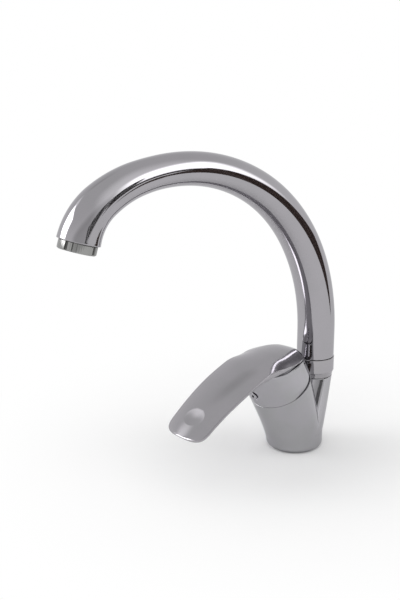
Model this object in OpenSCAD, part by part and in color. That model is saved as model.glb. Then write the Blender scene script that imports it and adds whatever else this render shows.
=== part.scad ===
// Kitchen mixer tap: two-lobed body, leaf lever on a tilted cartridge, swan-neck swivel spout.
// Millimetres. +Z up, the spout and the lever point to -Y, origin on the deck under the foot.
// Forward distances below are measured along -Y, sideways ones along X.

/* [Foot] */
// Radius of the round foot
foot_radius = 25; // [22:0.5:30]
// Rounding of the foot's lower edge
foot_rounding = 5; // [2:0.5:8]
// Radius of the circle on which the foot rests
foot_gasket_radius = 17.5; // [15:0.5:19]
// Thickness of the gasket ring in the foot's groove
foot_gasket_thickness = 2.4; // [1.5:0.1:3.5]

/* [Front lobe and cartridge axis] */
// Forward distance of the seam between body and lever
seam_forward = 20.05; // [14:0.25:26]
// Height of the centre of that seam
seam_height = 61.3; // [52:0.5:72]
// Radius of the seam
seam_radius = 28.2; // [26:0.2:31]
// Forward tilt of the cartridge's axis
axis_tilt = 28; // [15:1:35]
// How late the front lobe leans forward: 1 is a straight cone
front_bend = 1.17; // [1:0.01:1.6]
// How late the front lobe widens
front_widening = 1.75; // [1:0.05:2.5]

/* [Rear lobe and spout axis] */
// Distance of the spout's axis behind the foot's centre
spout_back = 24.6; // [20:0.2:28]
// Height of the rear lobe's top
socket_height = 60.6; // [50:0.5:70]
// Outer radius of the rear lobe's top
socket_radius = 15.4; // [14:0.1:18]
// Height at which the rear lobe starts to lean back
rear_start = 15; // [6:0.5:20]
// How late the rear lobe leans back: 1 is a straight cone
rear_bend = 0.85; // [0.7:0.05:1.4]
// Outer radius of the spout collar
collar_radius = 16.8; // [15:0.1:18]
// Height of the spout collar
collar_height = 17.1; // [12:0.1:24]

/* [Spout bow] */
// Radius of the bow above the column
bow_radius = 162; // [120:5:200]
// Angle through which that radius goes
bow_turn = 58.6; // [45:0.2:75]
// Radius of the flatter top of the bow
top_radius = 178; // [150:2:240]
// Angle through which the flatter top goes
top_turn = 41; // [25:0.5:50]
// Radius of the bow's far shoulder
shoulder_radius = 101; // [60:1:140]
// Angle through which that shoulder goes
shoulder_turn = 20.4; // [10:0.2:30]
// Radius of the bend down to the outlet
bend_radius = 44; // [25:0.5:60]
// Outward tilt of the outlet from straight down
outlet_tilt = 18.5; // [0:0.5:25]
// Height at which the column starts to bend
bow_start = 102; // [90:1:120]
// Straight length at the outlet
outlet_straight = 2; // [1:0.5:12]
// Outer radius of the spout at the seam
column_radius = 16.4; // [14:0.1:18]
// Outer radius of the spout at its thinnest
waist_radius = 12.9; // [11:0.1:15]
// Outer radius of the spout at the outlet
tip_radius = 16.3; // [14.5:0.1:18]
// Part of the spout's length at which it is thinnest
waist_place = 0.775; // [0.6:0.005:0.9]
// Part of the way to there at which the spout starts to narrow
waist_start = 0.27; // [0:0.01:0.5]
// Wall of the spout's tube
spout_wall = 2.2; // [1.5:0.1:4]
// Bevel and rounding at the collar's lower end
collar_bevel = 4.4; // [3:0.2:6]
// Radius of the spout's brass tail
tail_radius = 9; // [8:0.1:10]
// Depth of the tail's socket below the rear lobe's top
socket_depth = 16.6; // [15.5:0.1:18]

/* [Outlet] */
// Radius of the aerator's visible ring
aerator_radius = 14.5; // [13:0.1:16]
// Height of the visible ring
aerator_height = 7.2; // [4:0.2:10]
// Radius of the aerator's thread in the outlet
aerator_thread_radius = 12; // [11:0.1:13]
// Length of that thread
aerator_thread = 8; // [5:0.5:10]

/* [Lever] */
// Forward distance of the lever's highest point from the seam's centre
lever_apex_ahead = 2.15; // [0:0.05:5]
// Height of the lever's highest point above the seam's centre
lever_apex_above = 34.4; // [33:0.1:38]
// Radius of the arch behind the highest point
lever_rear_arch = 41; // [30:1:60]
// Angle through which the rear arch goes
lever_rear_turn = 29; // [20:1:40]
// Radius of the arch in front of the highest point
lever_front_arch = 124; // [60:1:160]
// Angle through which the front arch goes
lever_front_turn = 21.6; // [15:0.2:30]
// Radius of the nearly straight middle of the blade
lever_middle_arch = 345; // [200:5:600]
// Angle through which the middle goes
lever_middle_turn = 2.7; // [1:0.1:10]
// Radius of the arch at the end of the blade
lever_end_arch = 233; // [150:1:400]
// Angle through which the end goes
lever_end_turn = 15.5; // [8:0.1:20]
// Half width of the lever over the hub
lever_hub_half = 27.3; // [25:0.1:31]
// Half width at the middle of the blade
lever_blade_half = 25.1; // [20:0.1:27]
// Half width just before the rounded end
lever_end_half = 22.1; // [18:0.1:25]
// Crown of the blade across its width
blade_crown = 3; // [1:0.2:5]
// Crown of the lever over the hub
hub_crown = 6.3; // [5:0.1:9]
// Thickness of the blade's edge at its end
blade_edge = 2.4; // [1.8:0.1:4]
// Thickness of the edge where blade and hub meet
root_edge = 4.8; // [3:0.2:6]
// Thickness of the edge at the lever's rear
rear_edge = 1; // [0.8:0.1:3]
// Length of the blade's rounded end
end_round = 16; // [8:0.5:20]
// Distance of the thumb dimple from the blade's end
dimple_from_end = 20; // [14:0.5:30]
// Half length of the dimple along the blade
dimple_half_long = 8.6; // [5:0.2:12]
// Half width of the dimple
dimple_half_wide = 9.6; // [5:0.2:12]
// Depth of the dimple
dimple_depth = 1.3; // [0.5:0.1:1.8]
// Width of the groove between lever blade and hub
groove_width = 0.8; // [0.4:0.1:1.5]
// Depth of that groove
groove_depth = 2; // [1:0.2:3]
// Height of the lift axis above the seam
lift_height = 9; // [8:0.5:12]
// Largest lift of the lever
lift_angle = 18; // [10:1:20]
// Radius of the hole for the set screw
screw_hole_radius = 4; // [3:0.1:4.5]
// Height above the seam at which that hole opens
screw_hole_height = 10.2; // [8:0.2:14]
// Upward slant of the set screw
screw_slant = 22; // [15:1:30]

/* [Cartridge] */
// Outer radius of the cartridge
cartridge_radius = 17.5; // [15:0.1:18]
// Depth of the cartridge chamber below the seam
chamber_depth = 38; // [34:0.5:42]
// Radius of the cartridge nut's thread
nut_radius = 19; // [18:0.1:20]
// Radius of the stem carrier's neck
neck_radius = 10; // [9:0.2:11]

/* [Connections] */
// Radius of the hose inlets' thread
inlet_radius = 4.5; // [4:0.1:5.5]
// Depth of the hose inlets
inlet_depth = 14; // [10:0.5:18]
// Sideways distance of each inlet from the centre
inlet_side = 7.5; // [6:0.25:10]
// Forward distance of the inlets
inlet_forward = 4; // [3:0.5:6]
// Radius of the fixing stud's threaded hole
stud_radius = 3.4; // [3:0.1:4.5]
// Depth of the stud's hole
stud_depth = 14; // [10:0.5:18]
// Distance of the stud's hole behind the foot's centre
stud_back = 10; // [8:0.5:14]

/* [Hidden] */
// Gap between parts that move past each other
running_gap = 0.35;
// Radial play of a shaft in its hole
shaft_play = 0.05;
// Play of a part seated in its pocket
seat_play = 0.02;
// Gap of the visible seams
seam_gap = 0.4;
// Depth of those seams
seam_depth = 0.8;
// Bevel of turned edges
edge_bevel = 0.3;
// Smallest wall
wall = 1.5;
// Reach of a cut beyond the face that it opens
past = 1;
// Facets of the round cuts
$fn = 64;
// Facets round the lofted lobes
lobe_facets = 60;
// Steps along the lofted lobes
lobe_steps = 10;
// Facets round the spout
spout_facets = 40;
// Steps along the spout
spout_steps = 50;
// Steps along the lever
lever_steps = 56;
// Facets across the lever's top
lever_facets = 18;

// Shared curves

function mix(a, b, t) = a + (b - a) * t;
function ramp(v, a, b) = let (t = min(1, max(0, (v - a) / (b - a)))) t * t * (3 - 2 * t);

// A chain of tangent arcs [radius, turn] in the forward and height plane. The angle is that of
// the path from straight up, turning forward. Returns [forward, height, angle] at a distance.
function arc_length(arc) = arc[0] * arc[1] * PI / 180;
function chain_length(arcs, i = 0) =
    i >= len(arcs) ? 0 : arc_length(arcs[i]) + chain_length(arcs, i + 1);
function along(arcs, d, from, i = 0) =
    let (arc = arcs[i], reach = arc_length(arc))
    (d > reach && i < len(arcs) - 1)
        ? along(arcs, d - reach, arc_end(arc, arc[1], from), i + 1)
        : arc_end(arc, arc[1] * d / reach, from);
function arc_end(arc, turn, from) = [
    from[0] + arc[0] * (cos(from[2]) - cos(from[2] + turn)),
    from[1] + arc[0] * (sin(from[2] + turn) - sin(from[2])),
    from[2] + turn];

// Rings of points joined into a closed skin
module skin(rings) {
    count = len(rings[0]);
    last = len(rings) - 1;
    points = [for (ring = rings) for (p = ring) p];
    sides = [for (i = [0 : last - 1]) for (j = [0 : count - 1])
        let (k = (j + 1) % count, a = i * count + j, b = i * count + k)
        for (face = [[a, a + count, b], [b, a + count, b + count]]) face];
    bottom = [for (j = [1 : count - 2]) [0, j, j + 1]];
    top = [for (j = [1 : count - 2]) [last * count, last * count + j + 1, last * count + j]];
    polyhedron(points = points, faces = concat(bottom, top, sides), convexity = 6);
}

// Places on the tilted cartridge axis and on the spout axis
module on_cartridge_axis() {
    translate([0, -seam_forward, seam_height]) rotate([axis_tilt, 0, 0]) children();
}
module on_spout_axis() {
    translate([0, spout_back, 0]) children();
}

// A plain ring standing on its lower face
module ring(outer, inner, height) {
    difference() {
        cylinder(r = outer, h = height);
        translate([0, 0, -wall]) cylinder(r = inner, h = height + 2 * wall);
    }
}

// Body

// The lofted lobes stand just inside the turned foot
lobe_start = foot_rounding;
loft_inset = 0.05;
foot_top = rear_start - 0.1;
function lobe_ring(forward, height, radius, tilt) =
    [for (j = [0 : lobe_facets - 1]) let (a = j * 360 / lobe_facets)
        [radius * sin(a), -forward - radius * cos(a) * cos(tilt),
            height - radius * cos(a) * sin(tilt)]];
function front_ring(t) = lobe_ring(seam_forward * pow(t, front_bend),
    mix(lobe_start, seam_height, t),
    mix(foot_radius - loft_inset, seam_radius, pow(t, front_widening)), axis_tilt * t);
function rear_ring(t) = let (bent = pow(t, rear_bend)) lobe_ring(-spout_back * bent,
    mix(rear_start, socket_height, t), mix(foot_radius - loft_inset, socket_radius, bent), 0);

// The lever's hub turns in a ball-shaped cup round the lift axis
cup_rim = 0.8;
cup_radius = sqrt(pow(seam_radius - cup_rim, 2) + pow(lift_height, 2));
ball_radius = cup_radius - running_gap;

// Levels in the cartridge, up from the chamber's bottom
base_height = 5;
fixed_disc_height = 3.5;
moving_disc_height = 4;
shoulder_above_disc = 4.5;
disc_bottom = base_height - chamber_depth;
fixed_disc_top = disc_bottom + fixed_disc_height;
moving_disc_top = fixed_disc_top + moving_disc_height;
shoulder_level = moving_disc_top + shoulder_above_disc;
nut_level = -13.5;
housing_top = -9;

// Levels on the spout's axis
socket_bottom = socket_height - socket_depth;
collar_bottom = socket_height + seam_gap;
collar_top = collar_bottom + collar_height;
spout_bottom = collar_top + seam_gap;
socket_bore = tail_radius + shaft_play;
tail_bore = 6;
channel_radius = 3.5;
channel_back = 4;
// Where the outlet below the chamber meets the level channel
channel_drop = 4.1;
channel_height = seam_height + channel_back * sin(axis_tilt)
    - (chamber_depth + channel_drop) * cos(axis_tilt);
channel_start = channel_back * cos(axis_tilt) - seam_forward
    + (chamber_depth + channel_drop) * sin(axis_tilt);
feed_radius = 2.5;
// Where the upright feeds meet the sloping bottom of the chamber
feed_drop = (chamber_depth - (seam_forward - inlet_forward) * sin(axis_tilt)) / cos(axis_tilt);
feed_back = (seam_forward - inlet_forward) * cos(axis_tilt) - feed_drop * sin(axis_tilt);
lock_radius = 2.5;
lock_tip_radius = 1.2;
lock_below_top = 10.1;
lock_height = socket_height - lock_below_top;
lock_depth = 1.1;
groove_half = lock_tip_radius + running_gap;
lock_outside = 11.6;

module foot() {
    rotate_extrude() {
        square([foot_radius - foot_rounding, foot_top]);
        translate([0, foot_rounding]) square([foot_radius, foot_top - foot_rounding]);
        intersection() {
            translate([foot_radius - foot_rounding, foot_rounding]) circle(r = foot_rounding);
            square([foot_radius, foot_rounding]);
        }
    }
}

// A lobe begins inside the foot, so that the two are one casting
root_ring = lobe_ring(0, lobe_start - past, foot_radius - seam_depth, 0);

module lock_place() {
    translate([0, spout_back, lock_height]) rotate([-90, 0, 0]) children();
}

module gasket_ring(play) {
    outer = foot_gasket_radius + foot_gasket_thickness / 2 + play;
    inner = foot_gasket_radius - foot_gasket_thickness / 2 - play;
    difference() {
        translate([0, 0, -play]) cylinder(r = outer, h = foot_gasket_thickness + 2 * play);
        translate([0, 0, -wall]) cylinder(r = inner, h = foot_gasket_thickness + 2 * wall);
    }
}

// The mixed water's way from the chamber's bottom to the spout's socket
module water_way() {
    outlet_drop = 2 * channel_radius;
    riser_back = spout_back - tail_bore + channel_radius;
    on_cartridge_axis() translate([0, channel_back, -chamber_depth - outlet_drop])
        cylinder(r = channel_radius, h = outlet_drop + past);
    translate([0, channel_start, channel_height]) rotate([-90, 0, 0])
        cylinder(r = channel_radius, h = riser_back - channel_start);
    translate([0, riser_back, channel_height - channel_radius])
        cylinder(r = channel_radius, h = socket_bottom - channel_height + channel_radius + past);
}

module body() {
    color("silver") difference() {
        union() {
            foot();
            skin(concat([root_ring], [for (i = [0 : lobe_steps]) front_ring(i / lobe_steps)]));
            skin(concat([root_ring], [for (i = [0 : lobe_steps]) rear_ring(i / lobe_steps)]));
        }
        on_cartridge_axis() {
            // cup, thread and chamber of the cartridge
            intersection() {
                translate([0, 0, lift_height]) sphere(r = cup_radius, $fn = 96);
                translate([0, 0, nut_level]) cylinder(r = 2 * seam_radius, h = seam_height);
            }
            translate([0, 0, shoulder_level])
                cylinder(r = nut_radius + seat_play, h = -shoulder_level);
            translate([0, 0, -chamber_depth])
                cylinder(r = cartridge_radius + seat_play, h = chamber_depth);
        }
        on_spout_axis() translate([0, 0, socket_bottom])
            cylinder(r = socket_bore, h = 2 * socket_height);
        lock_place() cylinder(r = lock_radius + seat_play, h = foot_radius);
        water_way();
        for (side = [-1, 1]) {
            translate([side * inlet_side, -inlet_forward, -wall])
                cylinder(r = inlet_radius, h = inlet_depth + wall);
            translate([side * inlet_side, -inlet_forward, 0])
                cylinder(r = feed_radius, h = seam_height - feed_drop + feed_radius);
        }
        translate([0, stud_back, -wall]) cylinder(r = stud_radius, h = stud_depth + wall);
        gasket_ring(seat_play);
    }
}

module foot_gasket() {
    color("dimgray") gasket_ring(0);
}

// Spout and its swivel

collar_neck = socket_radius - seam_depth;
collar_foot = socket_radius + (collar_radius - socket_radius) * 0.3;
module spout_collar() {
    color("silver") on_spout_axis() difference() {
        rotate_extrude() polygon([[0, socket_height], [collar_neck, socket_height],
            [collar_neck, collar_bottom], [socket_radius, collar_bottom],
            [collar_foot, collar_bottom + collar_bevel / 2],
            [collar_radius - edge_bevel, collar_bottom + collar_bevel],
            [collar_radius, collar_bottom + collar_bevel + edge_bevel],
            [collar_radius, collar_top - edge_bevel],
            [collar_radius - edge_bevel, collar_top], [0, collar_top]]);
        cylinder(r = glide_radius + seat_play, h = 2 * collar_top);
    }
}

glide_radius = tail_radius + 3;
module glide_ring_upper() {
    color("ivory") on_spout_axis() translate([0, 0, socket_height])
        ring(glide_radius, socket_bore, spout_bottom - socket_height);
}

glide_thickness = 1.5;
module glide_ring_lower() {
    color("ivory") on_spout_axis() translate([0, 0, socket_bottom])
        ring(socket_bore - seat_play, tail_bore, glide_thickness);
}

tail_bottom = socket_bottom + glide_thickness + shaft_play;
tail_head = 12;
seal_height = 1.8;
seal_depth = 1.7;
seal_below_top = 3;
seal_pitch = 3.1;
seal_levels = [socket_height - seal_below_top - seal_pitch, socket_height - seal_below_top];
tail_head_radius = column_radius - spout_wall - seam_depth;
module spout_tail() {
    color("goldenrod") on_spout_axis() difference() {
        union() {
            translate([0, 0, tail_bottom])
                cylinder(r = tail_radius, h = spout_bottom - tail_bottom + past);
            translate([0, 0, spout_bottom]) cylinder(r = tail_head_radius, h = tail_head);
        }
        cylinder(r = tail_bore, h = 3 * socket_height);
        translate([0, 0, lock_height - groove_half])
            ring(2 * tail_radius, tail_radius - lock_depth - running_gap, 2 * groove_half);
        for (level = seal_levels) translate([0, 0, level - seat_play])
            ring(2 * tail_radius, tail_radius - seal_depth, seal_height + 2 * seat_play);
    }
}

module spout_o_rings() {
    color("black") on_spout_axis() for (level = seal_levels) translate([0, 0, level])
        ring(tail_radius + seat_play, tail_radius - seal_depth + seat_play, seal_height);
}

module spout_lock_screw() {
    color("gray") lock_place() difference() {
        union() {
            translate([0, 0, socket_bore + 0.1])
                cylinder(r = lock_radius, h = lock_outside - socket_bore - 0.1);
            translate([0, 0, tail_radius - lock_depth])
                cylinder(r = lock_tip_radius, h = lock_outside - tail_radius);
        }
        translate([0, 0, lock_outside - 1.2]) cylinder(r = 1.25, h = 4, $fn = 6);
    }
}

column_length = bow_start - spout_bottom;
bow_arcs = [[bow_radius, bow_turn], [top_radius, top_turn],
    [shoulder_radius, shoulder_turn],
    [bend_radius, 180 - outlet_tilt - bow_turn - top_turn - shoulder_turn]];
spout_length = column_length + chain_length(bow_arcs) + outlet_straight;
function straight_on(from, d) = [from[0] + d * sin(from[2]), from[1] + d * cos(from[2]), from[2]];
function spout_at(d) = let (bow = d - column_length, left = bow - chain_length(bow_arcs))
    bow < 0 ? [-spout_back, spout_bottom + d, 0]
    : left > 0 ? straight_on(along(bow_arcs, chain_length(bow_arcs), bow_from), left)
    : along(bow_arcs, bow, bow_from);
bow_from = [-spout_back, bow_start, 0];
spout_end = spout_at(spout_length);
widening_power = 1.4;
function spout_radius(d) = let (x = d / spout_length)
    x < waist_place
        ? mix(column_radius, waist_radius, ramp(x / waist_place, waist_start, 1))
        : mix(waist_radius, tip_radius,
            pow((x - waist_place) / (1 - waist_place), widening_power));
function spout_ring(d, radius, facets) = let (p = spout_at(d))
    [for (j = [0 : facets - 1]) let (a = j * 360 / facets)
        [radius * cos(a), -p[0] + radius * sin(a) * cos(p[2]), p[1] + radius * sin(a) * sin(p[2])]];
module at_outlet() {
    translate([0, -spout_end[0], spout_end[1]]) rotate([spout_end[2], 0, 0]) children();
}

inside_steps = 36;
aerator_shoulder = aerator_thread + wall;
module spout() {
    inner_end = spout_length - aerator_shoulder;
    color("silver") difference() {
        skin([for (i = [0 : spout_steps]) let (d = i * spout_length / spout_steps)
            spout_ring(d, spout_radius(d), spout_facets)]);
        skin([for (i = [0 : inside_steps])
            let (d = mix(tail_head, inner_end, i / inside_steps))
            spout_ring(d, spout_radius(d) - spout_wall, spout_facets / 2)]);
        on_spout_axis() translate([0, 0, spout_bottom - past])
            cylinder(r = tail_head_radius + seat_play, h = tail_head + past);
        at_outlet() translate([0, 0, -aerator_thread])
            cylinder(r = aerator_thread_radius + seat_play, h = aerator_thread + past);
        at_outlet() translate([0, 0, -aerator_shoulder - past])
            cylinder(r = aerator_bore - past, h = aerator_shoulder);
    }
}

aerator_bore = 10.4;
aerator_bevel = 0.8;
washer_height = 1.6;
module aerator_housing() {
    color("silver") at_outlet() difference() {
        union() {
            translate([0, 0, washer_height - aerator_thread])
                cylinder(r = aerator_thread_radius, h = aerator_thread - washer_height + past);
            rotate_extrude() polygon([[0, 0], [aerator_radius - seam_depth, 0],
                [aerator_radius - seam_depth, seam_gap], [aerator_radius - edge_bevel, seam_gap],
                [aerator_radius, seam_gap + edge_bevel],
                [aerator_radius, aerator_height - aerator_bevel],
                [aerator_radius - aerator_bevel, aerator_height], [0, aerator_height]]);
        }
        translate([0, 0, -aerator_thread - past])
            cylinder(r = aerator_bore, h = aerator_thread + aerator_height + 2 * past);
    }
}

jet_plate = 2;
jet_radius = 1.6;
jet_circle = 5.5;
insert_height = 9;
insert_top = washer_height - aerator_thread;
module aerator_insert() {
    color("ivory") at_outlet() translate([0, 0, insert_top]) difference() {
        cylinder(r = aerator_bore - seat_play, h = insert_height);
        translate([0, 0, jet_plate]) cylinder(r = aerator_bore - wall, h = insert_height);
        for (a = [0 : 60 : 300]) rotate([0, 0, a]) translate([jet_circle, 0, -past])
            cylinder(r = jet_radius, h = jet_plate + 2 * past, $fn = 24);
    }
}

mesh_bar = 0.5;
mesh_pitch = 1.9;
mesh_count = 4;
module aerator_mesh() {
    reach = aerator_bore - wall;
    color("gray") at_outlet() translate([0, 0, insert_top + insert_height]) {
        ring(aerator_bore - seat_play, reach - wall / 2, 2 * mesh_bar);
        intersection() {
            cylinder(r = reach, h = 2 * mesh_bar);
            for (turn = [0, 90], i = [-mesh_count : mesh_count]) rotate([0, 0, turn])
                translate([i * mesh_pitch - mesh_bar / 2, -reach, mesh_bar / 2 * turn / 90])
                    cube([mesh_bar, 2 * reach, mesh_bar]);
        }
    }
}

module aerator_washer() {
    color("black") at_outlet() translate([0, 0, -aerator_thread])
        ring(aerator_thread_radius - seat_play, aerator_bore - past, washer_height);
}

// Lever

lever_from = [seam_forward + lever_apex_ahead, seam_height + lever_apex_above, 90];
lever_arcs = [[lever_front_arch, lever_front_turn], [lever_middle_arch, lever_middle_turn],
    [lever_end_arch, lever_end_turn]];
lever_reach = chain_length(lever_arcs);
lever_rear = -lever_rear_arch * lever_rear_turn * PI / 180;
function lever_at(d) = d < 0
    ? arc_end([lever_rear_arch, 0], d / lever_rear_arch * 180 / PI, lever_from)
    : along(lever_arcs, d, lever_from);
// Distances along the lever between which it narrows, flattens, thickens and thins
widest = 10;
narrowed = 28;
taper_start = 55;
crown_start = 16;
crown_end = 40;
thicker_start = 2;
thicker_end = 32;
thinner_start = 34;
thinner_end = 54;
function rear_round(d) = d > widest ? 1
    : sqrt(max(0, 1 - pow((widest - d) / (widest - lever_rear), 2)));
function end_rounding(d) = let (e = lever_reach - d)
    e > end_round ? 1 : pow(1 - pow(1 - e / end_round, 3.2), 1 / 3);
function lever_half(d) = rear_round(d) * end_rounding(d)
    * mix(mix(lever_hub_half, lever_blade_half, ramp(d, widest, narrowed)), lever_end_half,
        ramp(d, taper_start, lever_reach));
function lever_crown(d) = mix(hub_crown, blade_crown, ramp(d, crown_start, crown_end))
    * pow(rear_round(d), 1.2) * end_rounding(d);
function lever_edge(d) = rear_edge + (root_edge - rear_edge) * ramp(d, thicker_start, thicker_end)
    - (root_edge - blade_edge) * ramp(d, thinner_start, thinner_end);
function lever_point(d, x, down) = let (p = lever_at(d))
    [x, -p[0] - down * cos(p[2]), p[1] - down * sin(p[2])];
function dimple(d, x) = let (q = pow((d - lever_reach + dimple_from_end) / dimple_half_long, 2)
    + pow(x / dimple_half_wide, 2)) q < 1 ? dimple_depth * pow(1 - q, 1.5) : 0;
// Share of the half width and of the edge's thickness, round the blade's lower side
edge_profile = [[-0.985, 0.85], [-0.93, 1], [0.93, 1], [0.985, 0.85]];
function lever_section(d) = let (w = lever_half(d), c = lever_crown(d), t = lever_edge(d))
    concat([for (j = [0 : lever_facets]) let (k = cos(180 * j / lever_facets), x = w * k)
        lever_point(d, x, c * pow(abs(k), 2.5) + dimple(d, x))],
    [for (q = edge_profile) lever_point(d, w * q[0], c + t * q[1])]);
function spaced(i) = let (t = i / lever_steps) t - 0.1 * sin(360 * t);
module lever_blade() {
    first = lever_rear + 0.05;
    last = lever_reach - 0.02;
    color("silver") skin([for (i = [0 : lever_steps]) lever_section(mix(first, last, spaced(i)))]);
}

// What lies under the blade: its underside seen from the side, lowered, as an outline
under_steps = 26;
under_first = lever_rear + 1.2;
under_last = 48;
under_reach = 60;
function under_line(lower) = [for (i = [0 : under_steps])
    let (d = mix(under_first, under_last, i / under_steps),
        p = lever_point(d, 0, lever_crown(d) + lever_edge(d) + lower))
    [-p[1], p[2]]];
module below_blade(lower) {
    line = under_line(lower);
    rear = line[0];
    front = line[under_steps];
    rotate([90, 0, -90]) translate([0, 0, -under_reach]) linear_extrude(height = 2 * under_reach)
        polygon(concat([[rear[0] - under_reach, rear[1] - under_reach],
            [rear[0] - under_reach, rear[1]]], line,
            [[front[0] + under_reach, front[1] - under_reach]]));
}

blade_seat = 0.15;
hub_wall = 2.2;
hub_roof = 5.8;
roof_level = lift_height + hub_roof;
skirt_rear = -1;
skirt_front = -7.6;
boss_half = 6;
boss_inner = 12;
boss_bottom = 2;
sleeve_half_side = 6.5;
sleeve_half_forward = 5.5;
sleeve_top = 26.5;
screw_radius = 3;
screw_outer = 26;
// Place on the set screw's axis, +Z outwards, 0 where it meets the cartridge's axis
module on_screw_axis() {
    translate([0, 0, screw_hole_height + seam_radius * tan(screw_slant)])
        rotate([90 + screw_slant, 0, 0]) children();
}

// The drum from the skirt's sloping lower edge to the blade
module hub_drum(radius, lower) {
    skirt_middle = (skirt_rear + skirt_front) / 2;
    skirt_slope = atan((skirt_rear - skirt_front) / (2 * seam_radius));
    intersection() {
        on_cartridge_axis() intersection() {
            translate([0, 0, 2 * skirt_front]) cylinder(r = radius, h = under_reach);
            translate([0, 0, skirt_middle]) rotate([skirt_slope, 0, 0])
                translate([-under_reach, -under_reach, 0]) cube(2 * under_reach);
        }
        below_blade(lower);
    }
}

module hub_hollow() {
    difference() {
        intersection() {
            translate([0, 0, lift_height]) sphere(r = ball_radius - hub_wall, $fn = 96);
            translate([0, 0, 3 * skirt_front])
                cylinder(r = seam_radius, h = roof_level - 3 * skirt_front);
        }
        translate([-boss_half, -2 * seam_radius, boss_bottom])
            cube([2 * boss_half, 2 * seam_radius - boss_inner, 2 * roof_level]);
    }
}

module block(half_side, half_forward, bottom, top) {
    translate([-half_side, -half_forward, bottom])
        cube([2 * half_side, 2 * half_forward, top - bottom]);
}

module lever_hub() {
    color("silver") difference() {
        union() {
            intersection() {
                hub_drum(seam_radius, groove_width);
                on_cartridge_axis() translate([0, 0, lift_height]) union() {
                    sphere(r = ball_radius, $fn = 96);
                    cylinder(r = seam_radius + past, h = under_reach);
                }
            }
            intersection() {
                hub_drum(seam_radius - groove_depth, blade_seat);
                on_cartridge_axis() translate([0, 0, lift_height])
                    cylinder(r = seam_radius, h = under_reach);
            }
        }
        on_cartridge_axis() {
            hub_hollow();
            block(sleeve_half_side + seat_play, sleeve_half_forward + seat_play, lift_height,
                sleeve_top + seat_play);
            on_screw_axis() {
                cylinder(r = screw_radius + seat_play, h = 2 * seam_radius);
                translate([0, 0, screw_outer])
                    cylinder(r = screw_hole_radius, h = seam_radius);
            }
        }
    }
}

stem_half_side = 4;
stem_half_forward = 3;
stem_top = 26;
module lever_socket() {
    color("dimgray") on_cartridge_axis() difference() {
        block(sleeve_half_side, sleeve_half_forward, roof_level, sleeve_top);
        block(stem_half_side + seat_play, stem_half_forward + seat_play, 0,
            stem_top + seat_play);
        on_screw_axis() cylinder(r = screw_radius + seat_play, h = seam_radius);
    }
}

key_radius = 1.5;
key_depth = 3;
module lever_set_screw() {
    start = stem_half_forward / cos(screw_slant) + screw_radius * tan(screw_slant) + seat_play;
    color("gray") on_cartridge_axis() on_screw_axis() difference() {
        translate([0, 0, start]) cylinder(r = screw_radius, h = screw_outer - start);
        translate([0, 0, screw_outer - key_depth])
            cylinder(r = key_radius, h = key_depth + past, $fn = 6);
    }
}

// Cartridge, from the lever's end to the water

pin_radius = 2;
pin_half = 8.6;
module on_pin_axis() {
    translate([0, 0, lift_height]) rotate([0, 90, 0]) children();
}

foot_level = -14;
stem_bottom = -9;
stem_neck_radius = 2.2;
module stem() {
    color("gray") on_cartridge_axis() difference() {
        union() {
            block(stem_half_side, stem_half_forward, stem_bottom, stem_top);
            translate([0, 0, foot_level])
                cylinder(r = stem_neck_radius, h = stem_bottom - foot_level + past);
            translate([0, 0, foot_level]) sphere(r = stem_half_forward);
        }
        on_pin_axis() cylinder(r = pin_radius + seat_play, h = seam_radius, center = true);
    }
}

module pivot_pin() {
    color("lightgray") on_cartridge_axis() on_pin_axis()
        cylinder(r = pin_radius, h = 2 * pin_half, center = true);
}

flange_radius = 13.5;
flange_above_yoke = 3.9;
yoke_plate = 2.6;
flange_bottom = moving_disc_top + yoke_plate + flange_above_yoke;
flange_top = -11;
neck_top = 6;
ear_radius = 5;
// How far forward the swinging stem reaches at a height, and how far back above the pin
function swing_front(height) =
    stem_half_forward + running_gap + max(0, lift_height - height) * tan(lift_angle);
function swing_back(height) =
    stem_half_forward + running_gap + max(0, height - lift_height) * tan(lift_angle);
module stem_carrier() {
    slot_half = stem_half_side + running_gap;
    color("white") on_cartridge_axis() difference() {
        union() {
            translate([0, 0, flange_bottom])
                cylinder(r = flange_radius, h = flange_top - flange_bottom);
            translate([0, 0, flange_top - past])
                cylinder(r = neck_radius, h = neck_top - flange_top + past);
            intersection() {
                union() {
                    on_pin_axis() cylinder(r = ear_radius, h = 2 * pin_half, center = true);
                    block(pin_half, ear_radius, neck_top - past, lift_height);
                }
                cylinder(r = neck_radius, h = seam_radius);
            }
        }
        // way of the stem
        rotate([90, 0, 90]) translate([0, 0, -slot_half]) linear_extrude(height = 2 * slot_half)
            polygon([[-swing_front(flange_bottom - past), flange_bottom - past],
                [swing_back(0), flange_bottom - past],
                [swing_back(0), neck_top], [2 * ear_radius, neck_top],
                [2 * ear_radius, roof_level], [-swing_front(lift_height), roof_level],
                [-swing_front(lift_height), lift_height]]);
        // way of the drive yoke
        translate([0, -seam_radius, flange_bottom - past])
            block(yoke_half_side + running_gap, seam_radius + yoke_slot_back, 0,
                flange_top - flange_bottom + past);
        on_pin_axis() cylinder(r = pin_radius + shaft_play, h = seam_radius, center = true);
    }
}

moving_disc_radius = 11.5;
moving_disc_back = 3;
yoke_plate_radius = 9.5;
yoke_half_side = 5;
yoke_wall = 2.2;
yoke_top = -12.6;
yoke_inside = stem_half_forward + running_gap;
yoke_slot_back = yoke_inside + yoke_wall + running_gap;
module drive_yoke() {
    color("orange") on_cartridge_axis() {
        translate([0, moving_disc_back, moving_disc_top])
            cylinder(r = yoke_plate_radius, h = yoke_plate);
        difference() {
            block(yoke_half_side, yoke_inside + yoke_wall, moving_disc_top, yoke_top);
            block(2 * yoke_half_side, yoke_inside, moving_disc_top + yoke_plate, 0);
        }
    }
}

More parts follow.
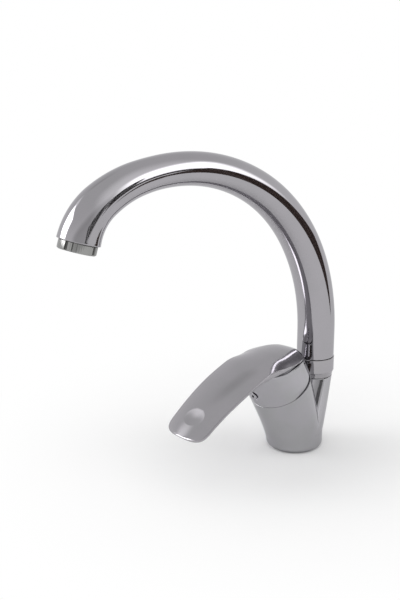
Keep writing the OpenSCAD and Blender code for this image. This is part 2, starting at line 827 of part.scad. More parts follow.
// Hollow under the moving disc, over the outlet when closed and over the inlets when open
hollow_depth = 1.8;
hollow_radius = 5;
hollow_side_radius = 3;
module moving_disc() {
    color("whitesmoke") on_cartridge_axis() translate([0, moving_disc_back, fixed_disc_top])
        difference() {
            cylinder(r = moving_disc_radius, h = moving_disc_top - fixed_disc_top);
            translate([0, 0, -past]) cylinder(r = hollow_radius, h = hollow_depth + past);
            for (side = [-1, 1])
                translate([side * (hollow_radius + past), past, -past])
                    cylinder(r = hollow_side_radius, h = hollow_depth + past);
        }
}

inlet_port = 2.3;
outlet_port = 3;
module ports(bottom, height) {
    for (side = [-1, 1]) translate([side * inlet_side, feed_back, bottom])
        cylinder(r = inlet_port, h = height);
    translate([0, channel_back, bottom]) cylinder(r = outlet_port, h = height);
}

module fixed_disc() {
    height = fixed_disc_top - disc_bottom;
    color("gainsboro") on_cartridge_axis() difference() {
        translate([0, 0, disc_bottom])
            cylinder(r = cartridge_radius - wall - shaft_play, h = height);
        ports(disc_bottom - past, height + 2 * past);
    }
}

seal_width = 1.3;
seal_land = 0.6;
disc_seal_outer = cartridge_radius - wall - seal_land;
disc_seal_height = 1;
module disc_seal() {
    color("black") on_cartridge_axis() translate([0, 0, disc_bottom - disc_seal_height])
        ring(disc_seal_outer, disc_seal_outer - seal_width, disc_seal_height);
}

port_seal_height = 1.2;
module port_seals(play) {
    height = port_seal_height + play;
    for (port = [[-inlet_side, feed_back, inlet_port], [inlet_side, feed_back, inlet_port],
            [0, channel_back, outlet_port]])
        translate([port[0], port[1], -chamber_depth])
            ring(port[2] + seal_land + seal_width + play, port[2] + seal_land - play, height);
}

module cartridge_seals() {
    color("black") on_cartridge_axis() port_seals(0);
}

module cartridge_base() {
    height = disc_bottom + chamber_depth;
    color("ivory") on_cartridge_axis() difference() {
        translate([0, 0, -chamber_depth]) cylinder(r = cartridge_radius, h = height);
        ports(-chamber_depth - past, height + 2 * past);
        translate([0, 0, disc_bottom - disc_seal_height - seat_play])
            ring(disc_seal_outer + seat_play, disc_seal_outer - seal_width - seat_play,
                disc_seal_height + wall);
        port_seals(seat_play);
    }
}

sleeve_radius = cartridge_radius - 2;
module cartridge_housing() {
    color("ivory") on_cartridge_axis() difference() {
        union() {
            translate([0, 0, disc_bottom])
                cylinder(r = cartridge_radius, h = shoulder_level - disc_bottom);
            translate([0, 0, shoulder_level - past])
                cylinder(r = sleeve_radius, h = housing_top - shoulder_level + past);
        }
        translate([0, 0, disc_bottom - past])
            cylinder(r = cartridge_radius - wall, h = shoulder_level - wall - disc_bottom + past);
        translate([0, 0, disc_bottom])
            cylinder(r = flange_radius + running_gap, h = flange_top + shaft_play - disc_bottom);
        translate([0, 0, disc_bottom]) cylinder(r = neck_radius + shaft_play, h = seam_radius);
    }
}

nut_flats_radius = cartridge_radius - seal_land;
module cartridge_nut() {
    color("goldenrod") on_cartridge_axis() difference() {
        union() {
            translate([0, 0, shoulder_level])
                cylinder(r = nut_radius, h = nut_level - shoulder_level);
            translate([0, 0, nut_level - past])
                cylinder(r = nut_flats_radius, h = housing_top - nut_level + past, $fn = 12);
        }
        translate([0, 0, shoulder_level - past])
            cylinder(r = sleeve_radius + seat_play, h = seam_radius);
    }
}

cap_height = 4.5;
cap_bottom_radius = 16.2;
cap_top_radius = 11.8;
module dome_cap() {
    color("silver") on_cartridge_axis() difference() {
        translate([0, 0, housing_top])
            cylinder(r1 = cap_bottom_radius, r2 = cap_top_radius, h = cap_height);
        translate([0, 0, housing_top - past])
            cylinder(r = neck_radius + running_gap, h = cap_height + 2 * past);
    }
}

body();
spout_collar();
spout();
spout_tail();
spout_o_rings();
glide_ring_upper();
glide_ring_lower();
spout_lock_screw();
aerator_housing();
aerator_insert();
aerator_mesh();
aerator_washer();
lever_blade();
lever_hub();
lever_socket();
lever_set_screw();
stem();
pivot_pin();
stem_carrier();
drive_yoke();
moving_disc();
fixed_disc();
disc_seal();
cartridge_base();
cartridge_seals();
cartridge_housing();
cartridge_nut();
dome_cap();
foot_gasket();
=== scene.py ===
from math import cos, pi, radians, sin, sqrt, tan

import bmesh
import bpy
import numpy as np
from mathutils import Euler, Matrix, Vector
from mathutils.kdtree import KDTree


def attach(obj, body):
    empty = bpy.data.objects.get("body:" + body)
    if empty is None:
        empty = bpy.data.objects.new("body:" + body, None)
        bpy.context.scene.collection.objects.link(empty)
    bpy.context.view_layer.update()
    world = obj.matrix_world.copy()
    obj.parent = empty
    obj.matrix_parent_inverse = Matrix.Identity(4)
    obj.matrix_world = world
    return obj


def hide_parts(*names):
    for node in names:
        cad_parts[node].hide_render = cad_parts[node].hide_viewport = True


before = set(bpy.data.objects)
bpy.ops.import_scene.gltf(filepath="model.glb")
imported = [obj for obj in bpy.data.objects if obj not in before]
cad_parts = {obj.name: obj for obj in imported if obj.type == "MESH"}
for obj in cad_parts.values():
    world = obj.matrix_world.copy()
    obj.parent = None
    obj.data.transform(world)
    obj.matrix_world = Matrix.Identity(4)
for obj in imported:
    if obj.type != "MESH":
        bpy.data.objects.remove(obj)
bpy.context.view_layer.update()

# Sizes are written in millimetres, as in the part's source, and meshes are scaled once
MM = 0.001
WELD_GAP = 2e-6


def mix(a, b, t):
    return a + (b - a) * t


def ramp(v, a, b):
    t = np.clip((v - a) / (b - a), 0, 1)
    return t * t * (3 - 2 * t)


def circle(count):
    return np.arange(count) * 2 * pi / count


# Meshes

def make_piece(name, points, faces):
    mesh = bpy.data.meshes.new(name)
    mesh.from_pydata((np.asarray(points, float) * MM).tolist(), [], [list(f) for f in faces])
    bm = bmesh.new()
    bm.from_mesh(mesh)
    bmesh.ops.remove_doubles(bm, verts=bm.verts, dist=WELD_GAP)
    bmesh.ops.recalc_face_normals(bm, faces=bm.faces)
    bm.to_mesh(mesh)
    bm.free()
    piece = bpy.data.objects.new(name, mesh)
    bpy.context.scene.collection.objects.link(piece)
    return piece


def skin(rings, closed=False):
    """Points and faces of a skin over rings of points, capped or joined end to start."""
    count, last = len(rings[0]), len(rings)
    points = np.concatenate(rings)
    faces = []
    for i in range(last if closed else last - 1):
        a, b = i * count, (i + 1) % last * count
        for j in range(count):
            k = (j + 1) % count
            faces.append((a + j, a + k, b + k, b + j))
    if not closed:
        faces.append(tuple(range(count))[::-1])
        faces.append(tuple((last - 1) * count + j for j in range(count)))
    return points, faces


NEARLY_STRAIGHT = 3.1


def soften(profile, radius, steps=4):
    """A closed outline with each corner rounded, as far as its sides allow."""
    out = []
    count = len(profile)
    for i, p in enumerate(profile):
        p = np.array(p, float)
        before = np.array(profile[i - 1], float) - p
        after = np.array(profile[(i + 1) % count], float) - p
        near, far = np.linalg.norm(before), np.linalg.norm(after)
        before, after = before / near, after / far
        turn = np.arccos(np.clip(np.dot(before, after), -1, 1))
        reach = min(radius / tan(max(turn, 0.05) / 2), near * 0.45, far * 0.45)
        if turn > NEARLY_STRAIGHT:
            out.append(p)
            continue
        for t in np.linspace(0, 1, steps + 1):
            out.append((1 - t) ** 2 * (p + before * reach) + 2 * t * (1 - t) * p
                       + t ** 2 * (p + after * reach))
    return out


def turned(profile, place, count=160):
    """A closed outline of radius and height turned about a placed Z axis."""
    a = circle(count)
    rings = []
    for r, z in profile:
        ring = np.stack([r * np.cos(a), r * np.sin(a), np.full(count, z)], 1)
        rings.append(placed(ring, place))
    return skin(rings, closed=True)


def placed(points, place):
    matrix = np.array(place)
    return np.asarray(points) @ matrix[:3, :3].T + matrix[:3, 3]


def combine(piece, tool, way):
    """One piece from two by a boolean. The tool is used up."""
    step = piece.modifiers.new("combine", "BOOLEAN")
    step.operation, step.solver, step.object = way, "EXACT", tool
    graph = bpy.context.evaluated_depsgraph_get()
    result = bpy.data.meshes.new_from_object(piece.evaluated_get(graph))
    piece.modifiers.clear()
    old, piece.data = piece.data, result
    result.name = piece.name
    bpy.data.meshes.remove(old)
    bpy.data.objects.remove(tool)
    return piece


def cut(piece, points, faces):
    return combine(piece, make_piece("tool", points, faces), "DIFFERENCE")


def add(piece, points, faces):
    return combine(piece, make_piece("tool", points, faces), "UNION")


def rod(radius, low, high, place, count=96):
    return turned([(0.0, low), (radius, low), (radius, high), (0.0, high)], place, count)


def smooth(piece, angle=32):
    mesh = piece.data
    mesh.polygons.foreach_set("use_smooth", [True] * len(mesh.polygons))
    mesh.set_sharp_from_angle(angle=radians(angle))
    mesh.update()


def dress(piece, body, slot, *nodes):
    """Gives a piece the finish of its record slot, and says what it rides on and replaces."""
    piece.data.materials.clear()
    piece.data.materials.append(FINISH[slot])
    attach(piece, body)
    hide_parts(*nodes)


# Materials

class Graph:
    """Short words for adding nodes and links to a node tree."""

    def __init__(self, tree):
        self.tree = tree

    def put(self, kind, values=None, **settings):
        node = self.tree.nodes.new(kind)
        for key, value in settings.items():
            setattr(node, key, value)
        for key, value in (values or {}).items():
            if isinstance(value, bpy.types.NodeSocket):
                self.tree.links.new(value, node.inputs[key])
            else:
                node.inputs[key].default_value = value
        return node

    def math(self, how, a, b=0.0, c=0.0):
        node = self.put("ShaderNodeMath", {0: a, 1: b, 2: c}, operation=how)
        return node.outputs[0]

    def noise(self, place, scale, detail=3.0, rough=0.5, spread=0.0):
        node = self.put("ShaderNodeTexNoise", {"Vector": place, "Scale": scale, "Detail": detail,
                                               "Roughness": rough, "Distortion": spread})
        return node.outputs["Fac"]

    def between(self, value, low, high, to_low=0.0, to_high=1.0):
        node = self.put("ShaderNodeMapRange", {"Value": value, "From Min": low, "From Max": high,
                                               "To Min": to_low, "To Max": to_high},
                        interpolation_type="SMOOTHSTEP")
        return node.outputs["Result"]

    def blend(self, amount, a, b, how="MIX"):
        node = self.put("ShaderNodeMix", data_type="RGBA", blend_type=how)
        for index, value in ((0, amount), (6, a), (7, b)):
            if isinstance(value, bpy.types.NodeSocket):
                self.tree.links.new(value, node.inputs[index])
            else:
                node.inputs[index].default_value = value
        return node.outputs[2]

    def stretched(self, place, x, y, z):
        node = self.put("ShaderNodeMapping", {"Vector": place, "Scale": (x, y, z)})
        return node.outputs["Vector"]


def effect(name, inputs, outputs):
    """A shader node group with the named inputs and outputs."""
    tree = bpy.data.node_groups.new(name, "ShaderNodeTree")
    for label, kind, value in inputs:
        socket = tree.interface.new_socket(label, in_out="INPUT", socket_type=kind)
        socket.default_value = value
    for label, kind in outputs:
        tree.interface.new_socket(label, in_out="OUTPUT", socket_type=kind)
    g = Graph(tree)
    return g, tree.nodes.new("NodeGroupInput").outputs, tree.nodes.new("NodeGroupOutput").inputs


FLOAT, COLOR, VECTOR = "NodeSocketFloat", "NodeSocketColor", "NodeSocketVector"


def plated_chrome():
    """Mirror plating: faint clouding, wiping marks, dried drops and the waves of its casting."""
    g, i, o = effect("plated_chrome", [
        ("Place", VECTOR, (0, 0, 0)), ("Tint", COLOR, (0.4, 0.39, 0.4, 1)),
        ("Shade", COLOR, (0.36, 0.36, 0.36, 1)), ("Polish", FLOAT, 0.06), ("Wiping", FLOAT, 0.05),
        ("Drops", FLOAT, 0.5), ("Waves", FLOAT, 0.1)],
        [("Colour", COLOR), ("Roughness", FLOAT), ("Height", FLOAT)])
    cloud = g.noise(i["Place"], 38.0, 3.0, 0.55)
    wipes = g.noise(g.stretched(i["Place"], 60, 420, 60), 3.0, 4.0, 0.6, 0.6)
    hairs = g.noise(g.stretched(i["Place"], 900, 160, 900), 2.0, 2.0, 0.5)
    cells = g.put("ShaderNodeTexVoronoi", {"Vector": i["Place"], "Scale": 150.0,
                                           "Randomness": 1.0}, feature="F1")
    few = g.between(cells.outputs["Color"], 0.80, 0.84)
    edge = g.between(cells.outputs["Distance"], 0.16, 0.21)
    rim = g.math("MULTIPLY", edge, g.between(cells.outputs["Distance"], 0.27, 0.22))
    drops = g.math("MULTIPLY", g.math("MULTIPLY", rim, few), i["Drops"])
    shade = g.blend(g.between(cloud, 0.35, 0.7), i["Tint"], i["Shade"])
    colour = g.blend(g.math("MULTIPLY", drops, 0.10), shade, (0.62, 0.62, 0.6, 1))
    marks = g.math("ADD", g.math("MULTIPLY", g.between(wipes, 0.4, 0.75), i["Wiping"]),
                   g.math("MULTIPLY", g.between(hairs, 0.5, 0.8), 0.01))
    rough = g.math("ADD", g.math("ADD", i["Polish"], marks), g.math("MULTIPLY", drops, 0.06))
    wave = g.math("MULTIPLY", g.noise(i["Place"], 24.0, 1.0, 0.4), i["Waves"])
    peel = g.math("MULTIPLY", g.noise(i["Place"], 900.0, 2.0, 0.5), 0.002)
    g.tree.links.new(colour, o["Colour"])
    g.tree.links.new(rough, o["Roughness"])
    g.tree.links.new(g.math("ADD", wave, peel), o["Height"])
    return g.tree


def worked_surface():
    """Grain, grime and tool marks for the parts inside: brass, steel, plastic, rubber, ceramic."""
    g, i, o = effect("worked_surface", [
        ("Place", VECTOR, (0, 0, 0)), ("Colour", COLOR, (0.5, 0.5, 0.5, 1)),
        ("Grime", COLOR, (0.3, 0.3, 0.3, 1)), ("Grime Amount", FLOAT, 0.5),
        ("Grain Size", FLOAT, 400.0), ("Grain", FLOAT, 0.3), ("Stretch", FLOAT, 1.0),
        ("Polish", FLOAT, 0.3), ("Wear", FLOAT, 0.15)],
        [("Colour", COLOR), ("Roughness", FLOAT), ("Height", FLOAT)])
    long_way = g.put("ShaderNodeCombineXYZ", {"X": 1.0, "Y": 1.0, "Z": i["Stretch"]})
    along = g.put("ShaderNodeVectorMath", {0: i["Place"], 1: long_way.outputs[0]},
                  operation="MULTIPLY")
    cloud = g.noise(i["Place"], 70.0, 4.0, 0.6)
    grain = g.noise(along.outputs[0], i["Grain Size"], 3.0, 0.6)
    grime = g.math("MULTIPLY", g.between(cloud, 0.45, 0.75), i["Grime Amount"])
    colour = g.blend(grime, i["Colour"], i["Grime"])
    rough = g.math("ADD", i["Polish"], g.math("MULTIPLY", g.math("ADD", grain, cloud), i["Wear"]))
    g.tree.links.new(colour, o["Colour"])
    g.tree.links.new(rough, o["Roughness"])
    g.tree.links.new(g.math("MULTIPLY", grain, i["Grain"]), o["Height"])
    return g.tree


CHROME, WORKED = plated_chrome(), worked_surface()


def material(name, group, values, metallic, bump, **fixed):
    """A material from a group's outputs, with its plain values on the shader itself."""
    mat = bpy.data.materials.new(name)
    mat.use_nodes = True
    g = Graph(mat.node_tree)
    shader = mat.node_tree.nodes["Principled BSDF"]
    place = g.put("ShaderNodeTexCoord").outputs["Object"]
    surface = g.put("ShaderNodeGroup", node_tree=group)
    mat.node_tree.links.new(place, surface.inputs["Place"])
    for key, value in values.items():
        surface.inputs[key].default_value = value
    relief = g.put("ShaderNodeBump", {"Height": surface.outputs["Height"], "Strength": 1.0,
                                      "Distance": bump})
    for output, socket in ((surface.outputs["Colour"], "Base Color"),
                           (surface.outputs["Roughness"], "Roughness"),
                           (relief.outputs["Normal"], "Normal")):
        mat.node_tree.links.new(output, shader.inputs[socket])
    shader.inputs["Metallic"].default_value = metallic
    for key, value in fixed.items():
        shader.inputs[key.replace("_", " ")].default_value = value
    return mat


def rgb(r, g, b):
    return (r, g, b, 1)


def chrome(name, tint, shade, polish, wiping, waves, drops=0.5):
    return material(name, CHROME, {"Tint": tint, "Shade": shade, "Polish": polish,
                                   "Wiping": wiping, "Waves": waves, "Drops": drops}, 1.0, MM,
                    Specular_Tint=rgb(0.8, 0.8, 0.81))


MAUVE, GREENISH = rgb(0.375, 0.363, 0.385), rgb(0.395, 0.395, 0.405)
# All the chrome is one plating. The body's and the hub's copies are made lighter and the aerator
# ring's copy darker: painted light and painted shade for how bright each part looks in its
# surroundings.
FINISH = {
    "body_chrome": chrome("body_chrome", rgb(0.42, 0.412, 0.435), GREENISH, 0.085, 0.05, 0.10),
    "collar_chrome": chrome("collar_chrome", MAUVE, rgb(0.37, 0.36, 0.37), 0.06, 0.03, 0.0),
    "spout_chrome": chrome("spout_chrome", MAUVE, rgb(0.36, 0.352, 0.37), 0.05, 0.035, 0.01),
    # the aerator ring's darker copy of the plating is painted shade
    "ring_chrome": chrome("ring_chrome", rgb(0.33, 0.33, 0.325), rgb(0.3, 0.3, 0.295), 0.07, 0.03,
                          0.0),
    "lever_chrome": chrome("lever_chrome", MAUVE, rgb(0.36, 0.352, 0.37), 0.10, 0.04, 0.04),
    "hub_chrome": chrome("hub_chrome", rgb(0.42, 0.41, 0.437), GREENISH, 0.09, 0.05, 0.05),
    "cap_chrome": chrome("cap_chrome", MAUVE, GREENISH, 0.12, 0.06, 0.0),
}


def worked(name, colour, grime, amount, size, grain, stretch, polish, wear, metallic, **fixed):
    FINISH[name] = material(name, WORKED, {
        "Colour": colour, "Grime": grime, "Grime Amount": amount, "Grain Size": size,
        "Grain": grain, "Stretch": stretch, "Polish": polish, "Wear": wear}, metallic, MM, **fixed)


worked("brass", rgb(0.72, 0.48, 0.20), rgb(0.38, 0.23, 0.09), 0.6, 300, 0.03, 9, 0.22, 0.14, 1.0)
worked("screw_steel", rgb(0.10, 0.10, 0.105), rgb(0.04, 0.035, 0.03), 0.7, 500, 0.03, 1, 0.3, 0.2,
       1.0)
worked("stem_steel", rgb(0.5, 0.5, 0.5), rgb(0.3, 0.3, 0.29), 0.5, 350, 0.02, 12, 0.22, 0.15, 1.0)
worked("mesh_steel", rgb(0.5, 0.5, 0.49), rgb(0.25, 0.23, 0.2), 0.8, 600, 0.02, 1, 0.25, 0.2, 1.0)
worked("seal_rubber", rgb(0.02, 0.02, 0.022), rgb(0.05, 0.05, 0.05), 0.6, 900, 0.03, 1, 0.5, 0.2,
       0.0)
worked("gasket_rubber", rgb(0.035, 0.035, 0.036), rgb(0.08, 0.078, 0.07), 0.6, 700, 0.05, 1, 0.55,
       0.2, 0.0)
worked("glide_plastic", rgb(0.82, 0.80, 0.74), rgb(0.6, 0.57, 0.5), 0.35, 500, 0.02, 1, 0.35, 0.12,
       0.0)
worked("aerator_plastic", rgb(0.75, 0.75, 0.74), rgb(0.55, 0.52, 0.46), 0.5, 500, 0.02, 1, 0.3,
       0.14, 0.0)
worked("socket_plastic", rgb(0.06, 0.06, 0.065), rgb(0.1, 0.1, 0.1), 0.4, 600, 0.02, 1, 0.4, 0.15,
       0.0)
worked("cartridge_plastic", rgb(0.76, 0.75, 0.70), rgb(0.55, 0.53, 0.47), 0.4, 450, 0.02, 1, 0.38,
       0.12, 0.0)
worked("yoke_plastic", rgb(0.72, 0.35, 0.07), rgb(0.45, 0.22, 0.06), 0.35, 450, 0.02, 1, 0.35,
       0.12, 0.0)
worked("disc_ceramic", rgb(0.85, 0.85, 0.84), rgb(0.66, 0.66, 0.65), 0.3, 900, 0.006, 1, 0.12,
       0.08, 0.0)

# Cartridge axis and lever

SEAM_FORWARD, SEAM_HEIGHT, SEAM_RADIUS, TILT = 20.05, 61.3, 28.2, radians(28)
# the lift axis above the seam, and the radii of the hub's ball and the body's cup about it
LIFT, BALL, CUP = 9.0, 28.49, 28.84
FOOT_RADIUS, FOOT_ROUNDING, LOBE_START = 25.0, 5.0, 5.0
SPOUT_BACK, SOCKET_HEIGHT, SOCKET_RADIUS, REAR_START = 24.6, 60.6, 15.4, 15.0
UPRIGHT = Matrix.Identity(4)
CARTRIDGE_AXIS = (Matrix.Translation((0, -SEAM_FORWARD, SEAM_HEIGHT))
                  @ Euler((TILT, 0, 0)).to_matrix().to_4x4())
SPOUT_AXIS = Matrix.Translation((0, SPOUT_BACK, 0))


def follow(arcs, start, d):
    """Forward distance, height and angle from upright at a distance along tangent arcs."""
    u, z, way = start
    for index, (radius, turn) in enumerate(arcs):
        reach = radius * radians(turn)
        part = d if d < reach or index == len(arcs) - 1 else reach
        on = way + part / radius
        u, z = u + radius * (cos(way) - cos(on)), z + radius * (sin(on) - sin(way))
        way, d = on, d - part
        if d <= 0:
            break
    return u, z, way


def arcs_length(arcs):
    return sum(radius * radians(turn) for radius, turn in arcs)


LEVER_START = (SEAM_FORWARD + 2.15, SEAM_HEIGHT + 34.4, pi / 2)
LEVER_ARCS = [(124, 21.6), (345, 2.7), (233, 15.5)]
LEVER_REACH = arcs_length(LEVER_ARCS)
REAR_ARCH, REAR_TURN = 41, 29
LEVER_REAR = -REAR_ARCH * radians(REAR_TURN)
WIDEST, END_ROUND = 10.0, 16.0
DIMPLE_FROM_END, DIMPLE_LONG, DIMPLE_WIDE, DIMPLE_DEPTH = 20.5, 8.7, 10.1, 0.75
CREASE_WIDTH = 4.4


def lever_at(d):
    if d < 0:
        return follow([(REAR_ARCH, REAR_TURN)], LEVER_START, d)
    return follow(LEVER_ARCS, LEVER_START, d)


def rear_round(d):
    return 1.0 if d > WIDEST else sqrt(max(0, 1 - ((WIDEST - d) / (WIDEST - LEVER_REAR)) ** 2))


def end_rounding(d):
    e = LEVER_REACH - d
    return 1.0 if e > END_ROUND else max(0, 1 - (1 - max(e, 0) / END_ROUND) ** 3.2) ** (1 / 3)


def lever_half(d):
    """Half width at a distance from the top of the blade, which is wide at the hub."""
    over = mix(mix(27.3, 25.1, ramp(d, WIDEST, 28)), 22.1, ramp(d, 55, LEVER_REACH))
    return rear_round(d) * end_rounding(d) * over


def lever_crown(d):
    """Fall of the top from its ridge to its edge."""
    return mix(6.3, 3, ramp(d, 16, 40)) * rear_round(d) ** 1.2 * end_rounding(d)


def lever_edge(d):
    """Thickness of the blade's edge."""
    return 1 + 3.8 * ramp(d, 2, 32) - 2.4 * ramp(d, 34, 54)


def lever_point(d, x, down):
    """The place at a distance along the ridge, sideways, and down from the ridge."""
    u, z, way = lever_at(d)
    return (x, -u - down * cos(way), z - down * sin(way))


def dimple(d, x):
    q = ((d - LEVER_REACH + DIMPLE_FROM_END) / DIMPLE_LONG) ** 2 + (x / DIMPLE_WIDE) ** 2
    return DIMPLE_DEPTH * (1 - q) ** 1.25 if q < 1 else 0.0


def crease_start(d):
    """Distance from the ridge at which the top begins to turn down into its bevel."""
    return 14.6 + 0.36 * d - 0.0012 * d ** 2 + 0.0006 * min(d, 0) ** 3


def lever_top(d, x):
    """Depth of the top below its ridge: a gentle crown, a rounded crease and a straight bevel."""
    half, crown = max(lever_half(d), 0.01), lever_crown(d)
    x = min(abs(x), half)
    start = max(crease_start(d), 0.1 * half)
    if start > 0.97 * half or half < 2:
        return crown * (x / half) ** 2.2 + dimple(d, x)
    shoulder = max(crown - (half - start) * mix(0.38, 0.42, ramp(d, -5, 25)), 0.1 * crown)
    if x < start:
        return shoulder * (x / start) ** 2.2 + dimple(d, x)
    width = min(CREASE_WIDTH, half - start)
    slope = 2.2 * shoulder / start
    bevel = (crown - shoulder - slope * width / 2) / (half - start - width / 2)
    over = min(x - start, width)
    depth = shoulder + slope * over + (bevel - slope) * over ** 2 / (2 * width)
    return depth + bevel * (x - start - over) + dimple(d, x)


def lever_normal(d, x):
    step = 0.05
    across = (np.array(lever_point(d, x + step, lever_top(d, x + step)))
              - lever_point(d, x - step, lever_top(d, x - step)))
    along = (np.array(lever_point(d + step, x, lever_top(d + step, x)))
             - lever_point(d - step, x, lever_top(d - step, x)))
    n = np.cross(along, across)
    n /= np.linalg.norm(n)
    return n if n[2] > 0 else -n


def lever_outline(side_steps=150):
    """Places round the blade's edge, as distance along it and sideways."""
    t = np.linspace(0, 1, side_steps)
    d = mix(LEVER_REAR, LEVER_REACH, (1 - np.cos(pi * t)) / 2)
    right = [(v, lever_half(v)) for v in d]
    left = [(v, -x) for v, x in right[-2:0:-1]]
    return np.array(right + left)


BLADE_ROUNDING, BLADE_UNDER_ROUNDING, TOP_SHARE = 0.55, 0.4, 0.93


def lever_blade():
    """The leaf, as rings from the middle of its top over its edge to the middle beneath."""
    outline = lever_outline()
    count = len(outline)
    spine = np.stack([np.clip(outline[:, 0], LEVER_REAR + 22, LEVER_REACH - 20),
                      np.zeros(count)], 1)
    reach = np.linalg.norm(outline - spine, axis=1)

    def inner(part, height):
        """A ring at a share of the way from the spine to the edge."""
        out = []
        for p, s, k in zip(outline, spine, np.broadcast_to(part, count)):
            d, x = s + (p - s) * k
            out.append(lever_point(d, x, height(d, x)))
        return np.array(out)

    def ring(inset, height):
        """A ring at a distance inside the edge."""
        return inner(1 - np.minimum(inset / np.maximum(reach, 0.01), 1), height)

    def top(fall):
        return lambda d, x: lever_top(d, x) + fall

    def below(rise):
        return lambda d, x: lever_crown(d) + lever_edge(d) * 0.999 - rise

    def side(share):
        return lambda d, x: lever_crown(d) + lever_edge(d) * share

    parts = np.linspace(0, TOP_SHARE, 84)
    rings = [inner(part, top(0)) for part in parts]
    polished = len(rings) * count
    rings += [ring(inset, top(0)) for inset in (1.3, 0.9, 0.7)]
    for a in np.radians(np.linspace(0, 90, 6)):
        rings.append(ring(BLADE_ROUNDING * (1 - sin(a)), top(BLADE_ROUNDING * (1 - cos(a)))))
    rings.append(ring(0.05, side(0.5)))
    rings.append(ring(0.22, side(0.78)))
    for a in np.radians(np.linspace(15, 90, 5)):
        rings.append(ring(0.3 + 3 * BLADE_UNDER_ROUNDING * (1 - cos(a)),
                          below(BLADE_UNDER_ROUNDING * (1 - sin(a)))))
    rings += [inner(part, below(0)) for part in (0.88, 0.6, 0.3, 0.0)]
    points = np.concatenate(rings)
    faces = []
    for i in range(len(rings) - 1):
        for j in range(count):
            k = (j + 1) % count
            faces.append((i * count + j, i * count + k, (i + 1) * count + k, (i + 1) * count + j))
    blade = make_piece("lever_blade_polished", points, faces)
    bm = bmesh.new()
    bm.from_mesh(blade.data)
    bmesh.ops.dissolve_degenerate(bm, edges=bm.edges, dist=1e-7)
    bmesh.ops.recalc_face_normals(bm, faces=bm.faces)
    bm.to_mesh(blade.data)
    bm.free()
    smooth(blade, 50)
    # corner normals of the top come from its curves
    tree = KDTree(polished)
    for index, point in enumerate(points[:polished]):
        tree.insert(point * MM, index)
    tree.balance()
    mesh = blade.data
    on_top = [index if gap < 1e-6 else -1 for _, index, gap in
              (tree.find(v.co) for v in mesh.vertices)]
    exact = {}
    for index in on_top:
        if index >= 0:
            part, column = parts[index // count], index % count
            d, x = spine[column] + (outline[column] - spine[column]) * part
            exact[index] = lever_normal(d, x)
    normals = [tuple(n.vector) for n in mesh.corner_normals]
    for face in mesh.polygons:
        known = [on_top[v] for v in face.vertices]
        if min(known) >= 0:
            for corner, index in zip(face.loop_indices, known):
                normals[corner] = tuple(exact[index])
    mesh.normals_split_custom_set(normals)
    return blade


def blade_underside(lower):
    """Height on the cartridge axis of the lowered underside, for a forward place on that axis."""
    to_axis = CARTRIDGE_AXIS.inverted()
    line = []
    for d in np.linspace(LEVER_REAR + 1.2, 48, 60):
        place = Vector(lever_point(d, 0, lever_crown(d) + lever_edge(d) + lower))
        local = to_axis @ place
        line.append((-local.y, local.z))
    line = np.array(line)
    order = np.argsort(line[:, 0])
    return line[order, 0], line[order, 1]


HUB_WALL, HUB_ROOF, GROOVE, GROOVE_DEPTH, RIM_ROUNDING = 2.2, 5.8, 1.0, 2.4, 0.8
BLADE_SEAT = 0.15
SKIRT_REAR, SKIRT_FRONT = -1.0, -7.6
WALL_FOOT = 0.28
BUTTON_HEIGHT, BUTTON_SLANT, BUTTON_RADIUS, BUTTON_PROUD = 12.9, radians(-12), 3.5, 1.5
BUTTON_WELL, BUTTON_HOLE = 4.5, 1.2
SCREW_SLANT, SCREW_HEIGHT, SCREW_INNER, SCREW_OUTER = radians(22), 10.2, 6.0, 26.0
SCREW_RADIUS, SCREW_HOLE_RADIUS = 3.0, 3.02
BOSS_HALF, BOSS_INNER, BOSS_OUTER = 6, 12, 26.8
SCREW_AXIS = (CARTRIDGE_AXIS @ Matrix.Translation((0, 0, SCREW_HEIGHT + SEAM_RADIUS
                                                   * tan(SCREW_SLANT)))
              @ Euler((pi / 2 + SCREW_SLANT, 0, 0)).to_matrix().to_4x4())
BUTTON_AXIS = (CARTRIDGE_AXIS @ Matrix.Translation((0, -SEAM_RADIUS, BUTTON_HEIGHT))
               @ Euler((pi / 2 + BUTTON_SLANT, 0, 0)).to_matrix().to_4x4())


